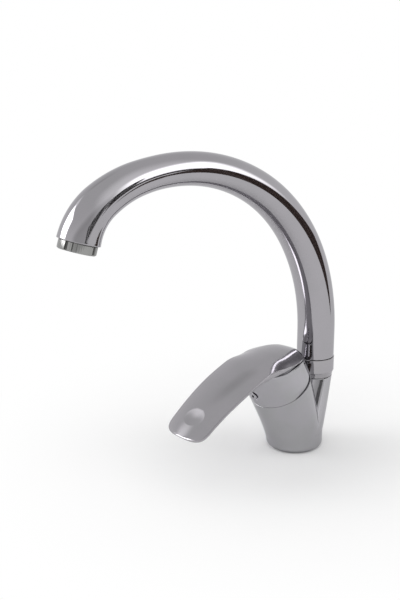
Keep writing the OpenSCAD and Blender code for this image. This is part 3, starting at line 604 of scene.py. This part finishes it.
def lever_hub():
    """The drum under the blade, as rings over its top, down its wall and up again inside."""
    count = 256
    a = circle(count)
    forward = np.sin(a) * -1
    seat_u, seat_z = blade_underside(BLADE_SEAT)
    groove_u, groove_z = blade_underside(GROOVE)
    middle, slope = (SKIRT_REAR + SKIRT_FRONT) / 2, (SKIRT_REAR - SKIRT_FRONT) / (2 * SEAM_RADIUS)

    def ring(radius, height):
        r = np.broadcast_to(radius, (count,))
        z = np.broadcast_to(height, (count,))
        return placed(np.stack([r * np.cos(a), r * np.sin(a), z], 1), CARTRIDGE_AXIS)

    def level(radius, us, zs):
        return np.interp(forward * radius, us, zs)

    rings = []
    core = SEAM_RADIUS - GROOVE_DEPTH
    for r in (0.01, 6, 12, 17, 21, 24, core - 0.3, core):
        rings.append(ring(r, level(r, seat_u, seat_z)))
    rings.append(ring(core, level(core, groove_u, groove_z)))
    for r in (core + 0.7, SEAM_RADIUS - RIM_ROUNDING - 0.1):
        rings.append(ring(r, level(r, groove_u, groove_z)))
    for t in np.radians(np.linspace(0, 90, 7)):
        r = SEAM_RADIUS - RIM_ROUNDING * (1 - sin(t))
        rings.append(ring(r, level(r, groove_u, groove_z) - RIM_ROUNDING * (1 - cos(t))))
    edge = level(SEAM_RADIUS, groove_u, groove_z) - RIM_ROUNDING
    turn = LIFT - sqrt(BALL ** 2 - SEAM_RADIUS ** 2)
    for t in (0.08, 0.2, 0.35, 0.5, 0.65, 0.8, 0.92, 1):
        rings.append(ring(SEAM_RADIUS, mix(edge, turn, t)))
    # in front the wall runs on down to the seam; at the rear the ball shows, so that it can dip
    front = ramp(forward, -0.03, 0.5)
    for z, inward in [(mix(turn, WALL_FOOT + 0.1, t), 0) for t in (0.25, 0.5, 0.75, 1)] + [
            (WALL_FOOT, 0.1), (WALL_FOOT, 1.0)]:
        ball = sqrt(BALL ** 2 - (LIFT - z) ** 2)
        rings.append(ring(mix(ball, max(SEAM_RADIUS - inward, ball), front), z))
    turn = WALL_FOOT
    hem = middle - forward * SEAM_RADIUS * slope
    for t in np.linspace(0.06, 1, 12):
        z = mix(turn, hem, t)
        rings.append(ring(np.sqrt(BALL ** 2 - (LIFT - z) ** 2), z))
    inside = BALL - HUB_WALL
    for t in (0, 0.3, 0.6, 0.9):
        z = mix(hem, LIFT, t)
        rings.append(ring(np.sqrt(inside ** 2 - (LIFT - z) ** 2), z))
    roof = LIFT + HUB_ROOF
    for z in (LIFT + 3, roof):
        rings.append(ring(sqrt(inside ** 2 - (LIFT - z) ** 2), z))
    rings.append(ring(12, roof))
    rings.append(ring(0.01, roof))
    hub = make_piece("lever_hub_polished", *skin(rings))
    # boss round the set screw
    boss = np.array([(x, y, z) for z in (2, roof + 2) for x, y in
                     ((-BOSS_HALF, -BOSS_INNER), (BOSS_HALF, -BOSS_INNER),
                      (BOSS_HALF, -BOSS_OUTER), (-BOSS_HALF, -BOSS_OUTER))], float)
    add(hub, placed(boss, CARTRIDGE_AXIS), [(0, 1, 2, 3), (4, 7, 6, 5), (0, 4, 5, 1), (1, 5, 6, 2),
                                            (2, 6, 7, 3), (3, 7, 4, 0)])
    cut(hub, *rod(SCREW_HOLE_RADIUS, 3, SCREW_OUTER + 0.3, SCREW_AXIS))
    # button with the hex key's hole, in a well in the wall
    cut(hub, *turned(soften([(BUTTON_RADIUS, -1.5), (BUTTON_WELL, -1.5), (BUTTON_WELL, 9),
                             (BUTTON_RADIUS, 9)], 0.2), BUTTON_AXIS, 96))
    cut(hub, *rod(BUTTON_WELL, BUTTON_PROUD, 9, BUTTON_AXIS))
    cap = soften([(0.0, -0.4), (BUTTON_RADIUS + 0.02, -0.4), (BUTTON_RADIUS + 0.02, BUTTON_PROUD),
                  (0.0, BUTTON_PROUD)], 0.6, 6)
    add(hub, *turned([(max(r, 0.0), z) for r, z in cap], BUTTON_AXIS, 96))
    cut(hub, *rod(BUTTON_HOLE, -4.5, 9, BUTTON_AXIS, 48))
    smooth(hub, 30)
    return hub


def set_screw():
    """The hex socket screw in the hub's hole, its rim rounded and its socket chamfered."""
    profile = soften([(0.0, SCREW_INNER), (SCREW_RADIUS, SCREW_INNER),
                      (SCREW_RADIUS, SCREW_OUTER), (0.0, SCREW_OUTER)], 0.35)
    profile = [(max(r, 0.0), z) for r, z in profile]
    screw = make_piece("lever_set_screw_polished", *turned(profile, SCREW_AXIS, 96))
    hexagon = circle(6)
    rings = []
    for radius, z in ((1.5, SCREW_OUTER - 3), (1.5, SCREW_OUTER - 0.25),
                      (1.95, SCREW_OUTER + 0.2)):
        ring = np.stack([radius * np.cos(hexagon), radius * np.sin(hexagon), np.full(6, z)], 1)
        rings.append(placed(ring, SCREW_AXIS))
    cut(screw, *skin(rings))
    smooth(screw, 30)
    return screw


# Body

def front_centre(t):
    return np.stack([0 * t, -SEAM_FORWARD * t ** 1.17, mix(LOBE_START, SEAM_HEIGHT, t)], -1)


def front_radius(t):
    return mix(FOOT_RADIUS, SEAM_RADIUS, t ** 1.75)


def front_point(t, a):
    tilt = TILT * t
    side = np.stack([np.sin(a), -np.cos(a) * np.cos(tilt), -np.cos(a) * np.sin(tilt)], -1)
    return front_centre(t) + front_radius(t)[..., None] * side


REAR_BEND = 0.85


def rear_point(t, a):
    bent = t ** REAR_BEND
    r = mix(FOOT_RADIUS, SOCKET_RADIUS, bent)
    return np.stack([r * np.sin(a), SPOUT_BACK * bent - r * np.cos(a),
                     mix(REAR_START, SOCKET_HEIGHT, t)], -1)


def front_place(p):
    """The loft's two values at a point on or near the front lobe."""
    low, high = np.zeros(len(p)), np.ones(len(p))
    for _ in range(34):
        t = (low + high) / 2
        off = p - front_centre(t)
        above = -off[:, 1] * np.sin(TILT * t) + off[:, 2] * np.cos(TILT * t) > 0
        low, high = np.where(above, t, low), np.where(above, high, t)
    off = p - front_centre(t)
    across = -(off[:, 1] * np.cos(TILT * t) + off[:, 2] * np.sin(TILT * t))
    return t, np.arctan2(off[:, 0], across), np.hypot(off[:, 0], across) - front_radius(t)


def rear_place(p):
    """The same for the rear lobe."""
    t = np.clip((p[:, 2] - REAR_START) / (SOCKET_HEIGHT - REAR_START), 0, 1)
    bent = t ** REAR_BEND
    across = SPOUT_BACK * bent - p[:, 1]
    return t, np.arctan2(p[:, 0], across), (np.hypot(p[:, 0], across)
                                            - mix(FOOT_RADIUS, SOCKET_RADIUS, bent))


def loft_normal(point, t, a):
    step = 1e-3
    t = np.clip(t, 2 * step, 1 - 2 * step)
    along = point(t + step, a) - point(t - step, a)
    around = point(t, a + step) - point(t, a - step)
    n = np.cross(around, along)
    n /= np.linalg.norm(n, axis=1)[:, None]
    out = np.stack([np.sin(a), -np.cos(a), 0 * a], -1)
    return n * np.sign((n * out).sum(1))[:, None]


def foot_normal(p):
    out = np.stack([p[:, 0], p[:, 1], 0 * p[:, 0]], -1)
    out /= np.maximum(np.linalg.norm(out, axis=1), 1e-9)[:, None]
    drop = np.clip((p[:, 2] - FOOT_ROUNDING) / FOOT_ROUNDING, -1, 0)
    return out * np.sqrt(1 - drop ** 2)[:, None] + np.stack([0 * drop, 0 * drop, drop], -1)


def foot_gap(p):
    r = np.hypot(p[:, 0], p[:, 1])
    low = p[:, 2] < FOOT_ROUNDING
    rounding = np.hypot(r - (FOOT_RADIUS - FOOT_ROUNDING), p[:, 2] - FOOT_ROUNDING) - FOOT_ROUNDING
    return np.where(low, rounding, r - FOOT_RADIUS)


ROOT_RADIUS, ROOT_HEIGHT = 24.2, 4
FRONT_RIM, REAR_RIM = 0.2, 0.3
CHAMBER_RADIUS, CHAMBER_FLOOR = 17.52, -38.0
THREAD_RADIUS, THREAD_FLOOR, CUP_FLOOR = 19.02, -21.0, -13.5
SWIVEL_BORE, LOCK_BORE, LOCK_HEIGHT = 9.05, 2.52, 50.5
INLET_SIDE, INLET_FORWARD, STUD_BACK = 7.5, 4, 10
GASKET_INNER, GASKET_OUTER, GASKET_DEPTH = 16.28, 18.72, 2.42
BELOW_FOOT = -2


def lobe(count, ring_at, centre_of, stop, radius, rounding, axis):
    """A lobe from inside the foot to its rim, which is rounded."""
    a, full = circle(count), np.ones(count)
    rings = [np.stack([ROOT_RADIUS * np.sin(a), -ROOT_RADIUS * np.cos(a), ROOT_HEIGHT * full], -1)]
    for t in np.concatenate([[0.0, 0.004, 0.012, 0.025], np.linspace(0.045, stop, 46)]):
        ring = ring_at(t * full, a)
        centre = centre_of(t, ring)
        # a hair inside its curve near the foot, so that it shares no face with the turned foot
        rings.append(centre + (ring - centre) * (1 - 0.0012 * (1 - t)))
    last = ring_at(full, a)
    middle = centre_of(1.0, last)
    for v in np.radians((0, 30, 60, 90)):
        shrink = 1 - rounding * (1 - cos(v)) / radius
        rings.append(middle + (last - middle) * shrink - axis * rounding * (1 - sin(v)))
    return skin(rings)


def body():
    """The casting: a turned foot, the two lobes, and the bores and threads cut into them."""
    count = 192
    rounding = [(FOOT_RADIUS - FOOT_ROUNDING * (1 - sin(v)), FOOT_ROUNDING * (1 - cos(v)))
                for v in np.radians(np.linspace(0, 90, 19))]
    foot = [(0.0, 0.0)] + rounding + [
        (FOOT_RADIUS, 8.0), (FOOT_RADIUS, 11.0), (FOOT_RADIUS, REAR_START - 0.1),
        (0.0, REAR_START - 0.1)]
    casting = make_piece("body_polished", *turned(foot, UPRIGHT, count))
    add(casting, *lobe(count, front_point, lambda t, ring: front_centre(np.array(t)), 0.992,
                       SEAM_RADIUS, FRONT_RIM, np.array([0, -sin(TILT), cos(TILT)])))
    add(casting, *lobe(count, rear_point, lambda t, ring: ring.mean(0), 0.99,
                       SOCKET_RADIUS, REAR_RIM, np.array([0, 0, 1])))
    # cup, nut thread and chamber of the cartridge
    cup = [(0.0, CHAMBER_FLOOR), (CHAMBER_RADIUS, CHAMBER_FLOOR), (CHAMBER_RADIUS, THREAD_FLOOR),
           (THREAD_RADIUS, THREAD_FLOOR), (THREAD_RADIUS, CUP_FLOOR)]
    cup += [(sqrt(CUP ** 2 - (z - LIFT) ** 2), z) for z in np.linspace(CUP_FLOOR, 5, 40)]
    cup += [(30.0, 6.0), (30.0, 40.0), (0.0, 40.0)]
    cut(casting, *turned(cup, CARTRIDGE_AXIS, count))
    cut(casting, *rod(SWIVEL_BORE, 44, 70, SPOUT_AXIS))
    # two inlets, the stud's hole and the gasket's groove, from below, with chamfered mouths
    inlet = [(0, BELOW_FOOT), (4.9, BELOW_FOOT), (4.5, 0.35), (4.5, 14), (2.5, 15), (2.5, 34),
             (0, 34)]
    stud = [(0, BELOW_FOOT), (3.8, BELOW_FOOT), (3.4, 0.35), (3.4, 13), (0, 14.6)]
    for profile, x, y in ((inlet, -INLET_SIDE, -INLET_FORWARD),
                          (inlet, INLET_SIDE, -INLET_FORWARD), (stud, 0, STUD_BACK)):
        cut(casting, *turned(profile, Matrix.Translation((x, y, 0)), 64))
    cut(casting, *turned([(GASKET_INNER, BELOW_FOOT), (GASKET_OUTER, BELOW_FOOT),
                          (GASKET_OUTER, GASKET_DEPTH), (GASKET_INNER, GASKET_DEPTH)],
                         UPRIGHT, 128))
    # screw hole at the back of the rear lobe
    cut(casting, *rod(LOCK_BORE, 0, 26, SPOUT_AXIS @ Matrix.Translation((0, 0, LOCK_HEIGHT))
                      @ Euler((-pi / 2, 0, 0)).to_matrix().to_4x4(), 48))
    smooth(casting, 35)
    polish_normals(casting)
    return casting


def vectors(items, field):
    out = np.empty(len(items) * 3)
    items.foreach_get(field, out)
    return out.reshape(-1, 3)


def counts(items, field):
    out = np.empty(len(items), int)
    items.foreach_get(field, out)
    return out


def polish_normals(casting):
    """Corner normals from the curves that the casting is made of, so that it mirrors clean."""
    mesh = casting.data
    points = vectors(mesh.vertices, "co") / MM
    corner_vertex = counts(mesh.loops, "vertex_index")
    centres = vectors(mesh.polygons, "center") / MM
    facing = vectors(mesh.polygons, "normal")
    sizes = counts(mesh.polygons, "loop_total")
    corner_face = np.repeat(np.arange(len(sizes)), sizes)
    normals = vectors(mesh.corner_normals, "vector")
    t, a, front_gap = front_place(centres)
    s, b, rear_gap = rear_place(centres)
    gaps = np.stack([np.abs(foot_gap(centres)) + (centres[:, 2] > REAR_START),
                     np.abs(front_gap) + (centres[:, 2] < LOBE_START),
                     np.abs(rear_gap) + (centres[:, 2] < REAR_START)])
    # where both fit, the front lobe's curve wins
    gaps[1] -= 0.002
    nearest = gaps.argmin(0)
    ways = np.stack([foot_normal(centres), loft_normal(front_point, t, a),
                     loft_normal(rear_point, s, b)])
    expected = ways[nearest, np.arange(len(centres))]
    sure = (gaps.min(0) < 0.06) & ((expected * facing).sum(1) > 0.96)
    p = points[corner_vertex]
    t, a, _ = front_place(p)
    s, b, _ = rear_place(p)
    foot = foot_normal(p)

    def eased(normal, along):
        out = foot + (normal - foot) * ramp(along, 0, 0.12)[:, None]
        return out / np.linalg.norm(out, axis=1)[:, None]

    exact = np.stack([foot, eased(loft_normal(front_point, t, a), t),
                      eased(loft_normal(rear_point, s, b), s)])
    pick = exact[nearest[corner_face], np.arange(len(p))]
    normals = np.where(sure[corner_face][:, None], pick, normals)
    mesh.normals_split_custom_set(normals.tolist())


# Spout, collar and outlet

SPOUT_BOTTOM, BOW_START = 78.5, 102.0
BOW_ARCS = [(162, 58.6), (178, 41), (101, 20.4), (44, 41.5)]
COLUMN = BOW_START - SPOUT_BOTTOM
BOW_LENGTH = arcs_length(BOW_ARCS)
SPOUT_LENGTH = COLUMN + BOW_LENGTH + 2
COLUMN_RADIUS, NARROW_RADIUS, END_RADIUS, NARROW_AT = 16.4, 12.9, 16.3, 0.775
SPOUT_WALL, TAIL_BORE, TAIL_DEPTH = 2.2, 13.42, 12
LIP, END_LIP = 0.45, 0.5


def spout_at(d):
    """Place and direction of the spout's middle at a distance from its lower end."""
    if d < COLUMN:
        return -SPOUT_BACK, SPOUT_BOTTOM + d, 0.0
    bow = d - COLUMN
    u, z, way = follow(BOW_ARCS, (-SPOUT_BACK, BOW_START, 0.0), min(bow, BOW_LENGTH))
    left = max(bow - BOW_LENGTH, 0)
    return u + left * sin(way), z + left * cos(way), way


def spout_radius(d):
    x = d / SPOUT_LENGTH
    if x < NARROW_AT:
        return mix(COLUMN_RADIUS, NARROW_RADIUS, ramp(x / NARROW_AT, 0.27, 1))
    return mix(NARROW_RADIUS, END_RADIUS, ((x - NARROW_AT) / (1 - NARROW_AT)) ** 1.4)


def spout_ring(d, radius, count):
    u, z, way = spout_at(d)
    a = circle(count)
    return np.stack([radius * np.cos(a), -u + radius * np.sin(a) * cos(way),
                     z + radius * np.sin(a) * sin(way)], 1)


END_U, END_Z, END_WAY = spout_at(SPOUT_LENGTH)
OUTLET = Matrix.Translation((0, -END_U, END_Z)) @ Euler((END_WAY, 0, 0)).to_matrix().to_4x4()


def outlet_ring(z, radius, count):
    a = circle(count)
    return placed(np.stack([radius * np.cos(a), radius * np.sin(a), np.full(count, z)], 1), OUTLET)


def spout():
    """The tube, as rings up its outside, round its end, and down through its bore."""
    count = 128
    quarter = np.radians(np.linspace(0, 90, 6))
    rings = [spout_ring(LIP * (1 - sin(v)), COLUMN_RADIUS - LIP * (1 - cos(v)), count)
             for v in quarter[::-1]]
    for d in np.linspace(1.2, SPOUT_LENGTH - 1.0, 260):
        rings.append(spout_ring(d, spout_radius(d), count))
    for v in quarter:
        rings.append(spout_ring(SPOUT_LENGTH - END_LIP * (1 - sin(v)),
                                spout_radius(SPOUT_LENGTH) - END_LIP * (1 - cos(v)), count))
    # the thread's bore for the outlet ring, with a chamfered mouth
    for z, r in ((0, 12.4), (-0.4, 12.02), (-8, 12.02), (-8, 9.4), (-9.5, 9.4)):
        rings.append(outlet_ring(z, r, count))
    for d in np.linspace(SPOUT_LENGTH - 14, TAIL_DEPTH + 0.5, 70):
        rings.append(spout_ring(d, spout_radius(d) - SPOUT_WALL, count))
    rings.append(spout_ring(TAIL_DEPTH, TAIL_BORE, count))
    rings.append(spout_ring(0, TAIL_BORE, count))
    tube = make_piece("spout_polished", *skin(rings, closed=True))
    smooth(tube, 35)
    return tube


def spout_collar():
    outline = [(12.02, 60.62), (14.6, 60.62), (14.6, 61.0), (15.4, 61.0), (15.82, 63.2),
               (16.5, 65.4), (16.8, 65.8), (16.8, 77.8), (16.5, 78.1), (12.02, 78.1)]
    collar = make_piece("spout_collar_polished", *turned(soften(outline, 0.35), SPOUT_AXIS, 160))
    smooth(collar, 35)
    return collar


NOTCH_DEPTH, NOTCH_HALF_TURN, NOTCH_MIDDLES, FLUTES, FLUTE_DEPTH = 2.1, 7.2, (46, 70), 60, 0.03
BAND_INNER, BAND_OUTER = 12.8, 14.35


def aerator_ring():
    outline = [(10.4, -6.4), (12.0, -6.4), (12.0, 0.0), (13.7, 0.0), (13.7, 0.4), (14.2, 0.4),
               (14.5, 0.7), (14.5, 6.4), (13.7, 7.2), (11.2, 7.2), (10.9, 6.7), (10.4, 6.5)]
    count = 720
    a = circle(count)
    # pairs of key notches round the band, and fine flutes between them
    turn = np.degrees(a)
    notch = FLUTE_DEPTH * (1 - np.cos(a * FLUTES))
    for middle in NOTCH_MIDDLES:
        off = (turn - middle + 45) % 90 - 45
        notch = np.maximum(notch, NOTCH_DEPTH * ramp(np.abs(off), NOTCH_HALF_TURN,
                                                     NOTCH_HALF_TURN - 0.8))
    rings = []
    for r, z in soften(outline, 0.3):
        around = np.where(r > BAND_INNER, r - notch * ramp(r, BAND_INNER, BAND_OUTER), r)
        rings.append(placed(np.stack([around * np.sin(a), -around * np.cos(a),
                                      np.full(count, z)], 1), OUTLET))
    ring = make_piece("aerator_ring_polished", *skin(rings, closed=True))
    smooth(ring, 35)
    return ring


dress(body(), "base", "body_chrome", "body")
dress(spout(), "swivel_spout", "spout_chrome", "spout")
dress(spout_collar(), "swivel_spout", "collar_chrome", "spout_collar")
dress(aerator_ring(), "swivel_spout", "ring_chrome", "aerator_housing")
dress(lever_blade(), "lever", "lever_chrome", "lever_blade")
dress(lever_hub(), "lever", "hub_chrome", "lever_hub")
dress(set_screw(), "lever", "screw_steel", "lever_set_screw")

# what stays as the part's source has it, and its finish
INSIDE = {
    "spout_tail": "brass", "spout_o_rings": "seal_rubber", "glide_ring_upper": "glide_plastic",
    "glide_ring_lower": "glide_plastic", "spout_lock_screw": "screw_steel",
    "aerator_insert": "aerator_plastic", "aerator_mesh": "mesh_steel",
    "aerator_washer": "seal_rubber", "lever_socket": "socket_plastic", "stem": "stem_steel",
    "pivot_pin": "stem_steel", "stem_carrier": "cartridge_plastic", "drive_yoke": "yoke_plastic",
    "moving_disc": "disc_ceramic", "fixed_disc": "disc_ceramic", "disc_seal": "seal_rubber",
    "cartridge_base": "cartridge_plastic", "cartridge_seals": "seal_rubber",
    "cartridge_housing": "cartridge_plastic", "cartridge_nut": "brass", "dome_cap": "cap_chrome",
    "foot_gasket": "gasket_rubber"}
for node, finish in INSIDE.items():
    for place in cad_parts[node].material_slots:
        place.material = FINISH[finish]

# Studio

def stage_sheet(name, width, height, roll=0.0):
    """A flat rectangle of the studio, and its matt material's graph, shader and coordinates."""
    mesh = bpy.data.meshes.new(name)
    w, h = width / 2, height / 2
    mesh.from_pydata([(x * cos(roll) - y * sin(roll), x * sin(roll) + y * cos(roll), 0)
                      for x, y in ((-w, -h), (w, -h), (w, h), (-w, h))], [], [(0, 1, 2, 3)])
    sheet = bpy.data.objects.new(name, mesh)
    bpy.context.scene.collection.objects.link(sheet)
    matt = bpy.data.materials.new(name)
    matt.use_nodes = True
    mesh.materials.append(matt)
    g = Graph(matt.node_tree)
    shader = g.tree.nodes["Principled BSDF"]
    shader.inputs["Specular IOR Level"].default_value = 0.0
    return sheet, g, shader, g.put("ShaderNodeTexCoord").outputs["Object"]


FLOOR_SIZE, PAPER_FADE = 24, (0.05, 0.3)


def paper_floor():
    """Pale paper under the tap. Further off it is the white backdrop, also in the metal."""
    _, g, shader, place = stage_sheet("studio_floor", FLOOR_SIZE, FLOOR_SIZE)
    g.tree.links.new(g.blend(g.noise(place, 60.0, 4.0), rgb(0.94, 0.94, 0.94),
                             rgb(0.95, 0.95, 0.95)), shader.inputs["Base Color"])
    shader.inputs["Roughness"].default_value = 0.9
    ray = g.put("ShaderNodeLightPath").outputs
    seen = g.math("MAXIMUM", ray["Is Camera Ray"],
                  g.math("MAXIMUM", ray["Is Glossy Ray"], ray["Is Transmission Ray"]))
    away = g.put("ShaderNodeVectorMath", {0: place}, operation="LENGTH").outputs["Value"]
    white = g.put("ShaderNodeEmission", {"Color": rgb(1, 1, 1), "Strength": 1.0})
    backdrop = g.put("ShaderNodeMixShader", {
        0: g.math("MULTIPLY", seen, g.between(away, *PAPER_FADE)),
        1: shader.outputs[0], 2: white.outputs[0]})
    g.tree.links.new(backdrop.outputs[0], g.tree.nodes["Material Output"].inputs["Surface"])


paper_floor()


def flat_card(name, centre, aim, width, height, dark, light, fold_shade_bands, roll=0.0):
    """A flat cloth sheet of the studio, stood upright, that only the metal's reflections show. Its
    dark and light bands are painted shade and light of cloth folds.
    """
    card, g, shader, place = stage_sheet(name, width, height, roll)
    card.location = centre
    card.rotation_euler = (Vector(centre) - Vector(aim)).to_track_quat("Z", "Y").to_euler()
    # dark and light bands across the flat card: painted shade of cloth folds that the sheet does
    # not have
    wave = g.noise(g.stretched(place, fold_shade_bands, 0.0, 0.0), 1.0, 1.0)
    g.tree.links.new(g.blend(g.between(wave, 0.42, 0.6), dark, light), shader.inputs["Base Color"])
    shader.inputs["Roughness"].default_value = 1.0
    card.visible_camera = False
    card.visible_shadow = False
    card.visible_diffuse = False


def toward(azimuth, elevation, distance, start):
    az, el = radians(azimuth), radians(elevation)
    return Vector(start) + Vector((sin(az) * cos(el), -cos(az) * cos(el), sin(el))) * distance


BOW = (0.0, -0.12, 0.25)
flat_card("flat_right_low", (0.227, 0.199, 0.165), (0.055, -0.021, 0.165), 0.27, 0.16,
          rgb(0.05, 0.035, 0.03), rgb(0.09, 0.07, 0.065), 30, radians(-27))
flat_card("flat_right_front", toward(103, 8, 1.5, BOW), BOW, 1.2, 0.36,
          rgb(0.05, 0.05, 0.05), rgb(0.32, 0.32, 0.32), 6)
flat_card("flat_right_gap", toward(127, -1, 1.0, BOW), BOW, 0.36, 0.12,
          rgb(0.05, 0.045, 0.045), rgb(0.12, 0.11, 0.11), 6)
flat_card("flat_front", toward(22, -38, 0.9, (0, -0.06, 0.13)), (0, -0.06, 0.13), 0.16, 0.6,
          rgb(0.2, 0.2, 0.2), rgb(0.3, 0.3, 0.3), 4)


def soft_window():
    """A soft-edged bright area of the studio, as a mask over the directions round the tap."""
    g, i, o = effect("soft_window", [
        ("Direction", VECTOR, (0, 0, 1)), ("Centre", VECTOR, (0, 0, 1)),
        ("Sideways", VECTOR, (1, 0, 0)), ("Upward", VECTOR, (0, 1, 0)),
        ("Half Width", FLOAT, 0.3), ("Half Height", FLOAT, 0.3), ("Softness", FLOAT, 0.5)],
        [("Mask", FLOAT)])

    def part_along(way):
        return g.put("ShaderNodeVectorMath", {0: i["Direction"], 1: i[way]},
                     operation="DOT_PRODUCT").outputs["Value"]

    ahead = part_along("Centre")
    depth = g.math("MAXIMUM", ahead, 0.05)
    outer = g.math("ADD", 1.0, i["Softness"])
    inner = g.math("SUBTRACT", 1.0, i["Softness"])

    def across(side, half):
        share = g.math("DIVIDE", g.math("ABSOLUTE", g.math("DIVIDE", part_along(side), depth)),
                       i[half])
        return g.between(share, outer, inner)

    mask = g.math("MULTIPLY", across("Sideways", "Half Width"), across("Upward", "Half Height"))
    g.tree.links.new(g.math("MULTIPLY", mask, g.math("GREATER_THAN", ahead, 0.05)), o["Mask"])
    return g.tree


WINDOW = soft_window()
world = bpy.data.worlds.new("studio")
bpy.context.scene.world = world
world.use_nodes = True
wg = Graph(world.node_tree)
direction = wg.put("ShaderNodeTexCoord").outputs["Generated"]


def window(azimuth, elevation, half_width, half_height, softness):
    """The mask of one pane, placed by its angles round the tap."""
    az, el = radians(azimuth), radians(elevation)
    centre = Vector((sin(az) * cos(el), -cos(az) * cos(el), sin(el)))
    sideways = Vector((cos(az), sin(az), 0))
    pane = wg.put("ShaderNodeGroup", node_tree=WINDOW)
    wg.tree.links.new(direction, pane.inputs["Direction"])
    for label, value in (("Centre", centre), ("Sideways", sideways),
                         ("Upward", sideways.cross(centre) * -1)):
        pane.inputs[label].default_value = value
    pane.inputs["Half Width"].default_value = tan(radians(half_width))
    pane.inputs["Half Height"].default_value = tan(radians(half_height))
    pane.inputs["Softness"].default_value = softness
    return pane.outputs["Mask"]


# Each pane's azimuth, elevation, half width, half height and softness, what it adds to the
# studio's light, and what it adds in the metal alone
PANES = (((70, 16, 48, 16, 0.6), -0.35, 0),      # the dim side behind the camera
         ((-44, 26, 17, 14, 0.3), 2.6, 5),       # the left window
         ((135, 17, 15, 14, 0.45), 2.2, 0),      # the right window
         ((119, 38, 20, 24, 0.9), 0.45, 0),      # the glow above it
         ((-66, 42, 7, 5, 0.7), 0, 0.6),         # light and shade in the thumb dimple
         ((-100, 54, 8, 5, 0.9), 0, -0.15))
# the studio dims overhead
height = wg.put("ShaderNodeSeparateXYZ", {0: direction}).outputs["Z"]
light = wg.between(height, 0.15, 0.75, 1.0, 0.80)
ray = wg.put("ShaderNodeLightPath")
mirrored = ray.outputs["Is Glossy Ray"]
for place, change, gleam in PANES:
    pane = wg.math("MULTIPLY_ADD", mirrored, gleam, change) if gleam else change
    light = wg.math("MULTIPLY_ADD", window(*place), pane, light)
# the camera sees plain white behind the tap, in every view
by_camera = ray.outputs["Is Camera Ray"]
light = wg.math("MULTIPLY_ADD", light, wg.math("SUBTRACT", 1.0, by_camera), by_camera)
background = wg.tree.nodes["Background"]
wg.tree.links.new(light, background.inputs["Strength"])
background.inputs["Color"].default_value = rgb(1, 1, 1)

# Camera, as fitted to the photo

camera = bpy.data.cameras.new("camera")
eye = bpy.data.objects.new("camera", camera)
bpy.context.scene.collection.objects.link(eye)
bearing, dip = radians(48), radians(17.5)
forward = Vector((-sin(bearing) * cos(dip), cos(bearing) * cos(dip), -sin(dip)))
eye.location = (0.6461, -0.6950, 0.4322)
eye.rotation_euler = forward.to_track_quat("-Z", "Y").to_euler()
camera.sensor_fit, camera.sensor_height, camera.lens = "VERTICAL", 24, 46.0
camera.clip_start, camera.clip_end = 0.01, 100
bpy.context.scene.camera = eye

bpy.context.scene.view_settings.view_transform = "Standard"
